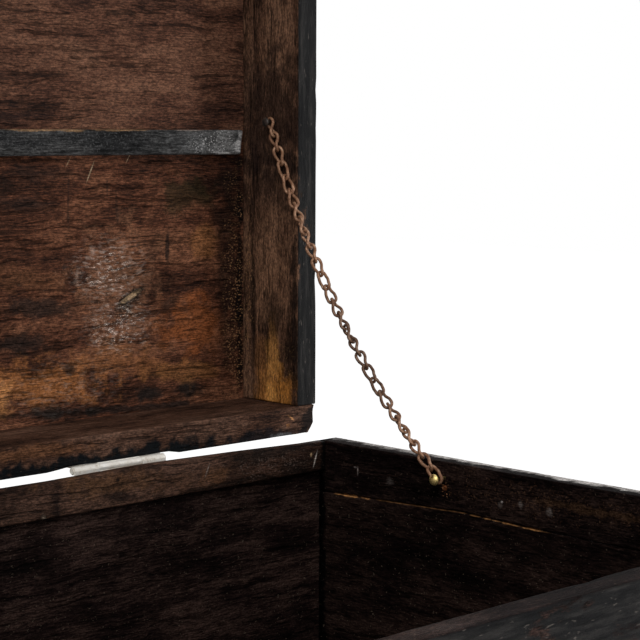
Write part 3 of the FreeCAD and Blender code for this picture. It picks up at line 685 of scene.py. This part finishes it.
right_rim_wood = old_wood("lid_rim_right_wood", "Z", *RIM_TONES, seed=5.0, marks=rim_marks, grit_and_glints=rim_grit,
                          paint=black_paint(FRONT, RIGHT, wear=0.30))
left_rim_wood = old_wood("lid_rim_left_wood", "Z", *RIM_TONES, seed=6.0,
                         paint=black_paint(FRONT, LEFT, wear=0.30))
worn_board("lid_rim_right", "Z", right_rim_wood, ease=1.2, chip=1.6)
worn_board("lid_rim_left", "Z", left_rim_wood, ease=1.2, chip=1.6)

# %% Finish the rear and front rims
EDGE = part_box("lid_rim_rear")[0].y / MM
rear_rim_marks = [((90, EDGE, 318), (90, 8, 7), 2, (0.15, 0.064, 0.030), 0.7)]
# A row of near-black ovals darkens the rim's edge face along its lower margin.
RIM_LOWER_BLACK = (0.003, 0.004, 0.005)
rear_rim_marks += [((x, EDGE, 300), (80, 12, 14), 0, RIM_LOWER_BLACK, 1.0) for x in range(-330, 260, 40)]
rear_rim_marks += [
    ((248, EDGE, 311), (8, 8, 4), 0, STAIN, 0.85),
    ((320, EDGE, 303), (70, 10, 7), 0, (0.006, 0.006, 0.008), 0.9),
    ((342, EDGE, 302.5), (14, 10, 2.6), 0, (0.22, 0.22, 0.23), 0.6),
    ((372, EDGE, 312), (17, 10, 18), 0, (0.007, 0.005, 0.005), 0.9),
    ((353, EDGE, 315.3), (5, 8, 1.6), 35, (0.52, 0.25, 0.10), 0.9),
    ((350, EDGE, 309.5), (3, 8, 2.2), 0, (0.34, 0.15, 0.06), 0.8),
]
rear_rim_wood = old_wood(
    "lid_rim_rear_wood", "X", (0.016, 0.008, 0.006), (0.072, 0.034, 0.021), (0.135, 0.072, 0.048), seed=4.0,
    marks=rear_rim_marks, paint=black_paint(DOWN, RIGHT, LEFT))
front_rim_wood = old_wood("lid_rim_front_wood", "X", *RIM_TONES, seed=8.0,
                          paint=black_paint(UP, FRONT, RIGHT, LEFT))
HINGE_MIDDLE, HINGE_REACH, SAG_START, RIM_SAG, BROKEN_END = 0.182, 0.047, 0.01, 2.0 * MM, 0.012


def sag_rim(points, low, high):
    """Lets the rim's lower edge sag clear of the hinges, and breaks its right end away."""
    for point in points:
        clear = min(abs(abs(point.x) - HINGE_MIDDLE) - HINGE_REACH, SAG_START) / SAG_START
        share = max(0.0, 1 - (point.z - low.z) / 0.006)
        point.z -= RIM_SAG * share * max(0.0, clear)
        to_end = high.x - point.x
        if to_end < BROKEN_END:
            torn = 1.2 + 2.6 * noise.noise(point * 190) + 4.5 * max(0.0, 1 - (point.z - low.z) / 0.007)
            point.x -= max(0.0, torn) * MM * (1 - to_end / BROKEN_END)


worn_board("lid_rim_rear", "X", rear_rim_wood, ease=0.7, chip=1.2, hollow=0.2, shape=sag_rim, grow=(-1, 0, 0))
worn_board("lid_rim_front", "X", front_rim_wood, ease=1.4, chip=1.5)

# %% [markdown]
# ## The batten
#
# A black strip covers the joint of the two planks, scraped to bare wood along its top. Its right end is
# painted grey as a painted sheen where it catches the light, with a painted highlight on its slanted end.
# A boolean could cut its ends, but a function that slants the points of a worn board is shorter, and a
# sawn end of such a strip is seldom square.

# %% Finish the batten
END_SLANT, FOOT_SLANT, BATTEN_DROP = 5, 3, 2.5
# The grey ovals at the right end are painted sheen, and the pale line on the slanted end is a painted highlight.
batten_marks = [
    ((340, 288, 530), (27, 30, 18), 0, (0.21, 0.205, 0.20), 0.75),
    ((300, 288, 530), (30, 30, 12), 0, (0.11, 0.11, 0.11), 0.5),
    ((349, 288, 529), (5, 30, 14), 14, (0.58, 0.56, 0.55), 0.85),
    ((338, 288, 521), (16, 30, 1.6), 0, (0.45, 0.43, 0.42), 0.8),
    ((160, 288, 539.4), (46, 30, 1.5), 0, (0.34, 0.20, 0.10), 0.85),
    ((232, 288, 539.6), (26, 30, 1.2), 0, (0.34, 0.20, 0.10), 0.7),
    ((300, 288, 539.6), (30, 30, 1.0), 0, (0.30, 0.24, 0.20), 0.6),
]
# The first oval of pale specks is painted sheen at the right end. The second holds grey specks along the strip.
batten_grit_and_sheen = [((328, 288, 530), (38, 30, 18), (0.64, 0.62, 0.61), 0.75),
               ((180, 288, 532), (170, 30, 14), (0.12, 0.12, 0.12), 0.5)]
batten_paint = old_wood(
    "joint_batten_paint", "X", (0.005, 0.005, 0.0052), (0.019, 0.019, 0.0195), (0.066, 0.064, 0.063),
    seed=1.0, gloss=0.4, marks=batten_marks, grit_and_glints=batten_grit_and_sheen, sheen=0.07, dust=0.05)


def cut_batten(points, low, high):
    """Slants the batten's ends, and lets its lower edge hang a little below the solid's."""
    middle, reach = (low.x + high.x) / 2, (high.x - low.x) / 2
    for point in points:
        depth = (high.y - point.y) / (high.y - low.y)
        drop = (high.z - point.z) / (high.z - low.z)
        slant = (END_SLANT * depth + FOOT_SLANT * drop) * MM
        point.x = middle + (point.x - middle) * (1 - slant / reach)
        point.z -= BATTEN_DROP * MM * drop


worn_board("joint_batten", "X", batten_paint, ease=1.2, chip=1.2, step=0.006, shape=cut_batten)

# %% [markdown]
# ## The coin slot
#
# Coins go in through a slit in the front plank, under an iron plate. The board's grid could be given a hole,
# but its cuts would have to meet the slit exactly. A boolean with a block is simpler, and its result is kept
# as the mesh, so no modifier is left.

# %% Cut the coin slot through the front plank
slot_low, slot_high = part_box("coin_slot_plate")
slot_middle = (slot_low + slot_high) / 2
SLOT_ROOM = Vector((116, 80, 13)) * MM
bpy.ops.mesh.primitive_cube_add(size=1, location=slot_middle)
cutter = bpy.context.object
cutter.scale = SLOT_ROOM
cut = front_plank.modifiers.new("coin_slot", "BOOLEAN")
cut.object = cutter
cut.solver = "EXACT"
bpy.context.view_layer.update()
cut_mesh = bpy.data.meshes.new_from_object(front_plank.evaluated_get(bpy.context.evaluated_depsgraph_get()))
front_plank.modifiers.clear()
front_plank.data = cut_mesh
bpy.data.objects.remove(cutter)
print(f"coin slot cut, {len(cut_mesh.polygons)} faces left in the plank")

# %% [markdown]
# ## The walls
#
# The walls are almost black inside, and painted black outside. Where the right wall's strip meets its board,
# splintered wood makes a broken orange line. The line could be a texture of its own, but here one wave moves
# both boards' edges and the orange marks, so they can't drift apart.

# %% List the marks on the right wall
WALL_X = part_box("right_strip")[0].x / MM
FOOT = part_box("right_strip")[0].z / MM
CHIP_ORANGE, DULL_ORANGE = (0.46, 0.22, 0.080), (0.20, 0.095, 0.036)
# The pale edge colour is a painted reflection, the scuff colour is partly painted highlight, and the corner colour
# is painted shade.
SCUFF_AND_HIGHLIGHT, EDGE_REFLECTION, CORNER_SHADE = (0.100, 0.082, 0.074), (0.74, 0.70, 0.67), (0.0012, 0.0010, 0.0010)


def joint_wave(y):
    """How far the joint of the right wall lies above its straight line at a depth, all in millimetres."""
    return float(np.interp(y, [-60, 0, 60, 125, 200], [0.0, 0.4, 2.0, -0.5, -3.5]))


joint_runs = [(160, 196, 1.2, CHIP_ORANGE, 0.9), (62, 146, 0.8, DULL_ORANGE, 0.75),
              (-18, 46, 1.0, CHIP_ORANGE, 0.65)]
joint_marks_and_corner_shade = [((WALL_X, y, FOOT + joint_wave(y)), (4, 8, half), 0, colour, strength)
               for first, last, half, colour, strength in joint_runs for y in range(first, last, 9)]
# A near-black band down the right wall's rear corner is painted shade.
joint_marks_and_corner_shade.append(((WALL_X, 206, 150), (30, 7, 300), 0, CORNER_SHADE, 1.0))
strip_marks = joint_marks_and_corner_shade + [
    # A pale line along the top outer edge of the wall is a painted reflection.
    ((379, 0, 300.5), (10.5, 400, 3.2), 0, EDGE_REFLECTION, 0.95),
    # Small dents are painted lighter grey, partly scuffed wear and partly painted highlight, and one holds a
    # bright painted glint.
    ((WALL_X, 24, 277), (30, 3, 3.5), 0, SCUFF_AND_HIGHLIGHT, 0.55),
    ((WALL_X, 23, 278.5), (30, 1.6, 1.3), 0, (0.66, 0.60, 0.58), 1.0),
    ((WALL_X, 6, 279), (30, 3.2, 4), 0, SCUFF_AND_HIGHLIGHT, 0.8),
    ((WALL_X, -20, 278), (30, 3.6, 3.4), 0, SCUFF_AND_HIGHLIGHT, 0.8),
    ((WALL_X, 166, 281), (30, 0.9, 4.5), 0, (0.26, 0.215, 0.20), 0.8),
    ((WALL_X, 168.5, 283.5), (30, 2.4, 0.9), 0, (0.22, 0.18, 0.17), 0.7),
    ((WALL_X, 133, 277), (30, 5, 4.5), 0, SCUFF_AND_HIGHLIGHT, 0.4),
    ((WALL_X, -60, 284), (30, 70, 4), 0, (0.050, 0.026, 0.014), 0.6),
    ((WALL_X, 77, 281), (30, 3, 2.4), 0, (0.24, 0.08, 0.03), 0.6),
]
strip_grit = [((WALL_X, -10, 284), (30, 140, 14), (0.17, 0.085, 0.05), 0.25),
              ((WALL_X, 77, 280), (30, 6, 5.5), (0.55, 0.27, 0.13), 0.75)]
print(f"{len(strip_marks)} marks on the strip")

# %% Finish the walls
WALL_TONES = (0.0035, 0.0022, 0.0021), (0.0150, 0.0085, 0.0075), (0.052, 0.030, 0.024)
WALL_SIDES = {"right": ("Y", RIGHT), "left": ("Y", LEFT), "rear": ("X", BACK), "front": ("X", FRONT)}
walls = {}
for side, (grain, outside) in WALL_SIDES.items():
    shade = 0.5 if side == "right" else 1.0
    tones = [tuple(shade * c for c in tone) for tone in WALL_TONES]
    walls[side] = old_wood(f"{side}_wall_wood", grain, *tones, seed=len(side) + ord(side[0]), gloss=0.5,
                           marks=joint_marks_and_corner_shade if side == "right" else (), sheen=0.02, dust=0.35,
                           paint=black_paint(outside, wear=0.40))
strip_wood = old_wood(
    "right_strip_wood", "Y", WALL_TONES[0], (0.0085, 0.0052, 0.0047), (0.030, 0.0175, 0.0140), seed=3.0,
    gloss=0.42, marks=strip_marks, grit_and_glints=strip_grit, sheen=0.006, dust=0.18,
    paint=black_paint(RIGHT, wear=0.40))
print(f"{len(walls) + 1} wall finishes ready")

# %% Place the walls
WAVE_REACH, BEVEL_DROP, BEVEL_REACH = 0.012, 5.0 * MM, 0.03


def wave_strip(points, low, high):
    """Lets the lower edge of the right strip follow the wandering joint."""
    for point in points:
        point.z += joint_wave(point.y / MM) * MM * max(0.0, 1 - (point.z - low.z) / WAVE_REACH)


def wave_board(points, low, high):
    """Lets the upper edge of the right board follow the same joint."""
    for point in points:
        point.z += joint_wave(point.y / MM) * MM * max(0.0, 1 - (high.z - point.z) / WAVE_REACH)


def bevel_back(points, low, high):
    """Slopes the rear wall's top down towards the back."""
    for point in points:
        if point.z > high.z - BEVEL_REACH:
            share = (point.z - (high.z - BEVEL_REACH)) / BEVEL_REACH
            point.z -= BEVEL_DROP * share * (point.y - low.y) / (high.y - low.y)


worn_board("front_board", "X", walls["front"], ease=2.0, chip=1.6)
worn_board("rear_board", "X", walls["rear"], ease=1.6, chip=1.3, shape=bevel_back)
worn_board("left_board", "Y", walls["left"], ease=1.2)
worn_board("left_strip", "Y", walls["left"], ease=1.8, chip=1.4)
worn_board("right_board", "Y", walls["right"], ease=1.2, shape=wave_board)
worn_board("right_strip", "Y", strip_wood, ease=1.8, chip=1.4, shape=wave_strip)

# %% [markdown]
# ## The hinge rail
#
# A rail stiffens the top of the rear wall, in front of the hinges. It is browner than the walls, scratched,
# and bowed up, so the gap under the lid is uneven. A bend modifier would bow it evenly. Its top edge follows
# a short list of heights instead, because a crooked strip has no even curve.

# %% Finish the hinge rail
RAIL_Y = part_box("hinge_rail")[0].y / MM
rail_marks = [
    # The near-black band at the rail's right end, by the right wall, is painted shade.
    ((360, RAIL_Y, 285), (5, 30, 60), 0, CORNER_SHADE, 1.0),
    ((150, RAIL_Y, 294), (60, 30, 12), 4, (0.105, 0.050, 0.024), 0.7),
    ((215, RAIL_Y, 288), (30, 30, 9), 0, (0.075, 0.036, 0.020), 0.6),
    ((159, RAIL_Y, 284), (22, 30, 5), 8, (0.006, 0.004, 0.004), 0.8),
    ((290, RAIL_Y, 290), (60, 30, 12), 0, (0.040, 0.019, 0.012), 0.5),
    ((300, RAIL_Y, 297), (46, 30, 7), 0, (0.007, 0.005, 0.004), 0.75),
    ((332, RAIL_Y, 284), (22, 30, 6), 0, (0.008, 0.006, 0.005), 0.6),
    ((246, RAIL_Y, 287), (22, 30, 9), 0, (0.120, 0.055, 0.026), 0.55),
    ((105, RAIL_Y, 287), (5, 30, 16), 0, (0.006, 0.004, 0.004), 0.7),
    ((240, RAIL_Y, 292), (7.5, 30, 0.8), -66, (0.20, 0.16, 0.14), 0.8),
    ((350, RAIL_Y, 287), (0.95, 30, 8.5), 20, (0.62, 0.54, 0.48), 0.95),
    ((345.5, RAIL_Y, 291), (1.3, 30, 1.8), 0, (0.62, 0.40, 0.22), 0.9),
    ((95, RAIL_Y, 277), (3.0, 30, 6), -20, (0.30, 0.23, 0.17), 0.9),
    ((157.6, RAIL_Y, 296), (3, 30, 2.5), 0, (0.004, 0.003, 0.003), 0.9),
]
rail_grit = [((310, RAIL_Y, 288), (50, 30, 12), (0.22, 0.15, 0.12), 0.4)]
rail_wood = old_wood(
    "hinge_rail_wood", "X", (0.007, 0.0040, 0.0032), (0.036, 0.0180, 0.0120), (0.100, 0.052, 0.035), seed=7.0,
    gloss=0.42, marks=rail_marks, grit_and_glints=rail_grit, dust=0.25)
BOW_FROM_MIDDLE = [0.0, 0.1, 0.15, 0.18, 0.21, 0.27, 0.335, 0.35]
BOW_HEIGHT = [2.6, 2.3, 3.2, 3.6, 3.2, 2.2, 0.3, 0.0]
BOW_START, RAIL_BACK = 0.015, 1.5 * MM


def bow_rail(points, low, high):
    """Bows the rail's top edge up, where the lid's tray leaves room for it."""
    for point in points:
        if point.z > low.z + BOW_START and point.y < high.y - RAIL_BACK:
            share = (point.z - low.z - BOW_START) / (high.z - low.z - BOW_START)
            point.z += MM * share * np.interp(abs(point.x), BOW_FROM_MIDDLE, BOW_HEIGHT)


worn_board("hinge_rail", "X", rail_wood, ease=1.0, chip=1.2, step=0.007, shape=bow_rail)

# %% [markdown]
# ## The base planks
#
# Three plain planks close the bottom. They could be worn boards too, but hardly any of their edges show. So
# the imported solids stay, and get the wood finish with black paint on the sides that look outwards.

# %% Finish the base planks
base_wood = old_wood(
    "base_plank_wood", "X", WALL_TONES[0], (0.030, 0.018, 0.012), (0.060, 0.037, 0.025), seed=13.0,
    paint=black_paint(RIGHT, LEFT, BACK, FRONT, wear=0.42))


def give(node, material):
    """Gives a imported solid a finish."""
    mesh = frame["nodes"][node].data
    mesh.materials.clear()
    mesh.materials.append(material)


for part in ("front", "middle", "rear"):
    give(f"base_plank_{part}", base_wood)
print("base planks finished")

# %% [markdown]
# ## Metal finishes
#
# The chain and nails are iron with a thin brown rust. The hinges are plated steel, dull and cream white,
# partly their pale plating and partly a painted reflection of the white ground. The nail at the wall is brass.
# Separate noises for colour and shine would put bright metal inside the rust, so one noise drives the colour,
# roughness, metal and relief together.


# %% Make an old metal
def old_metal(name, stops, scale, rough, metallic, pits=0.5, darker=()):
    """Worn metal. Stops run from bare metal to the heaviest rust or dirt, and darker lists ovals made darker."""
    material, tree, shader, place = start_finish(name)
    patches = speckle(tree, place, scale, detail=6.0, rough=0.66)
    grains = speckle(tree, place, scale * 7, detail=3.0, rough=0.6)
    mixed = plus(tree, times(tree, patches, 0.72), times(tree, grains, 0.28))
    coat = colours(tree, mixed, stops)
    for centre, half, strength in darker:
        lies = oval(tree, place, centre, half, edge=(0.2, 1.0))
        coat = scaled(tree, coat, less(tree, 1.0, times(tree, lies, strength)))
    tree.links.new(coat, shader.inputs["Base Color"])
    for socket, (bare, rusty) in (("Roughness", rough), ("Metallic", metallic)):
        tree.links.new(ramped(tree, mixed, 0.38, 0.62, rusty - bare, bare), shader.inputs[socket])
    bump = put(tree, "ShaderNodeBump", {"Height": mixed, "Strength": pits, "Distance": 0.6 * MM})
    tree.links.new(bump.outputs[0], shader.inputs["Normal"])
    return material


print("metal finish ready")

# %% Give the metals to the solids
iron = old_metal(
    "dark_iron", [(0.36, (0.05, 0.046, 0.044)), (0.52, (0.028, 0.019, 0.014)), (0.66, (0.085, 0.038, 0.018))],
    140, rough=(0.42, 0.8), metallic=(0.85, 0.25))
# The chain is made darker along the middle of its run.
chain_iron = old_metal(
    "rusty_chain_iron", [(0.36, (0.44, 0.27, 0.17)), (0.48, (0.27, 0.135, 0.072)),
                         (0.60, (0.15, 0.062, 0.028)), (0.72, (0.050, 0.022, 0.013))],
    240, rough=(0.42, 0.75), metallic=(0.35, 0.05), pits=0.6, darker=[((355, 146, 385), (80, 75, 95), 0.55)])
# The hinge's near-white stops are partly pale plating and partly painted reflection of the white ground.
hinge_steel = old_metal(
    "dull_plated_steel", [(0.34, (0.92, 0.90, 0.86)), (0.52, (0.82, 0.77, 0.69)), (0.68, (0.46, 0.37, 0.28))],
    70, rough=(0.40, 0.65), metallic=(0.25, 0.05), pits=0.3)
brass = old_metal(
    "pale_brass", [(0.34, (0.90, 0.74, 0.36)), (0.52, (0.76, 0.57, 0.22)), (0.70, (0.36, 0.24, 0.09))],
    210, rough=(0.24, 0.5), metallic=(1.0, 0.6), pits=0.35)
METAL_OF_SLOT = {"iron": iron, "chain_iron": chain_iron, "hinge_steel": hinge_steel, "brass": brass}
for node, slot in slot_of_node.items():
    if slot in METAL_OF_SLOT:
        give(node, METAL_OF_SLOT[slot])
print(f"{len(METAL_OF_SLOT)} metals given out")

# %% [markdown]
# ## The stay chain
#
# Each link is a wire bent into a long loop and twisted, so both of its bows cross the next links. A curve
# with a bevel could make the loop, but its wire would be perfectly even. Here rings of points follow the
# twist, with a little noise, and the links hang on the same arc between the nails as the solids do.

# %% Sweep one twisted link
INNER_LENGTH, INNER_WIDTH, WIRE, LINK_TWIST = 12.4 * MM, 4.0 * MM, 2.5 * MM, math.radians(66)
BOW_STEPS, SIDE_STEPS, WIRE_SIDES = 14, 8, 12


def twist_at(rise, straight):
    """How far the loop has turned at a height above its middle."""
    return LINK_TWIST / 2 * math.sin(math.pi / 2 * max(-1, min(1, rise / straight)))


def link_points(seed):
    """Rings of a round, slightly uneven wire along the twisted loop."""
    radius = WIRE / 2
    bow = INNER_WIDTH / 2 + radius
    straight = INNER_LENGTH / 2 + radius - bow
    loop = []
    for end in (1, -1):
        bends = [math.pi * i / BOW_STEPS for i in range(BOW_STEPS + 1)]
        loop += [(end * bow * math.cos(t), end * (straight + bow * math.sin(t))) for t in bends]
        loop += [(-end * bow, end * straight * (1 - 2 * i / SIDE_STEPS)) for i in range(1, SIDE_STEPS)]
    centres = []
    for across, rise in loop:
        turn = twist_at(rise, straight)
        centres.append(Vector((across * math.cos(turn), across * math.sin(turn), rise)))
    rings = []
    for i, centre in enumerate(centres):
        along = (centres[(i + 1) % len(centres)] - centres[i - 1]).normalized()
        turn = twist_at(centre.z, straight)
        side = Vector((-math.sin(turn), math.cos(turn), 0))
        side = (side - along * side.dot(along)).normalized()
        flank = along.cross(side)
        ring = []
        for k in range(WIRE_SIDES):
            angle = 2 * math.pi * k / WIRE_SIDES
            way = side * math.cos(angle) + flank * math.sin(angle)
            rough = noise.noise(centre * 900 + way * 1.3 + Vector((seed * 4.7, seed, 0)))
            ring.append(centre + way * radius * (0.95 + 0.05 * rough))
        rings.append(ring)
    return rings


print(f"a link has {len(link_points(0))} rings of {WIRE_SIDES} points")

# %% Hang the links on their arc
PITCH, LINK_TURN, NAIL_REACH, DROOP = 11.9 * MM, math.radians(23.3), 4.6 * MM, math.radians(14.4)
LINK_COUNT, UPPER_LINKS, LOWER_START = 27, 10, 17


def link_frames():
    """Where each link hangs: its middle on the arc and its turned axes."""
    wall_end, lid_end = joint_point["chain_wall_pivot"], joint_point["chain_lid_pivot"]
    slope = math.atan2(lid_end.z - wall_end.z, lid_end.y - wall_end.y)
    radius = ((LINK_COUNT - 1) * PITCH + 2 * NAIL_REACH) / (2 * DROOP)
    to_arc = slope - math.pi / 2
    outwards = Vector((0, math.cos(to_arc), math.sin(to_arc)))
    centre = (wall_end + lid_end) / 2 - outwards * radius * math.cos(DROOP)
    frames = []
    for number in range(LINK_COUNT):
        swing = DROOP - (NAIL_REACH + number * PITCH) / radius
        reach = Vector((0, math.cos(to_arc + swing), math.sin(to_arc + swing)))
        heading = Vector((0, math.cos(slope + swing), math.sin(slope + swing)))
        across = Vector((0, -heading.z, heading.y))
        axes = Matrix((across, Vector((1, 0, 0)), heading)).transposed()
        turn = Matrix.Rotation(number * LINK_TURN - LINK_TWIST / 2, 3, "Z")
        frames.append((centre + reach * radius, axes @ turn))
    return frames


hanging = link_frames()
print(f"links hang from {hanging[0][0].z:.3f} m to {hanging[-1][0].z:.3f} m")


# %% Put the links in place of their solids
def chain_piece(node, numbers):
    """One object for a run of links, in place of the node's solids."""
    points, faces = [], []
    for number in numbers:
        middle, axes = hanging[number]
        rings = link_points(number)
        first = len(points)
        points += [middle + axes @ point for ring in rings for point in ring]
        count, sides = len(rings), len(rings[0])
        for i in range(count):
            here, there = first + i * sides, first + (i + 1) % count * sides
            for k in range(sides):
                after = (k + 1) % sides
                faces.append((here + k, here + after, there + after, there + k))
    add_mesh(node, "wire", points, faces, chain_iron)


chain_piece("chain_upper_links", range(UPPER_LINKS))
for number in range(UPPER_LINKS, LOWER_START):
    chain_piece(f"chain_link_{number + 1}", [number])
chain_piece("chain_lower_links", range(LOWER_START, LINK_COUNT))
print(f"{LINK_COUNT} links hung")

# %% [markdown]
# ## The two chain nails
#
# Each nail has a domed head that keeps its link on the shank. A sphere on a cylinder would meet it in a hard
# line, so each nail is turned from one profile, as on a lathe, with small dents that catch the light.

# %% Turn the nails
NAIL_SHANK, NAIL_TIP, DOME_STEPS, NAIL_SIDES = 1.4 * MM, 3 * MM, 9, 40


def dome_nail(node, material, rise):
    """A nail turned from a profile, from the dome's top to the shank's tip."""
    low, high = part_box(node)
    head = (high.y - low.y) / 2
    axis = Vector((0, (low.y + high.y) / 2, (low.z + high.z) / 2))
    under = low.x + rise
    bends = [math.pi / 2 * i / DOME_STEPS for i in range(1, DOME_STEPS + 1)]
    profile = [(low.x, 0.0)] + [(under - rise * math.cos(t), head * math.sin(t)) for t in bends]
    profile += [(under + 0.25 * MM, head * 0.93), (under + 0.3 * MM, NAIL_SHANK)]
    profile += [(high.x - NAIL_TIP, NAIL_SHANK), (high.x, 0.0)]
    points, faces, rings = [], [], []
    for x, radius in profile:
        if radius == 0.0:
            rings.append([len(points)])
            points.append(axis + Vector((x, 0, 0)))
            continue
        ring = []
        for k in range(NAIL_SIDES):
            angle = 2 * math.pi * k / NAIL_SIDES
            spot = Vector((math.cos(angle) * 2, math.sin(angle) * 2, x * 400))
            across = radius * (1 - 0.03 * max(0.0, noise.noise(spot)))
            ring.append(len(points))
            points.append(axis + Vector((x, across * math.cos(angle), across * math.sin(angle))))
        rings.append(ring)
    for one, two in zip(rings, rings[1:]):
        for k in range(NAIL_SIDES):
            after = k + 1
            ring = [one[k % len(one)], one[after % len(one)], two[after % len(two)], two[k % len(two)]]
            faces.append([v for i, v in enumerate(ring) if v not in ring[:i]][::-1])
    add_mesh(node, "turned", points, faces, material)


dome_nail("chain_wall_nail", brass, rise=2.8 * MM)
dome_nail("chain_lid_nail", iron, rise=1.8 * MM)
print("one brass nail and one iron nail")
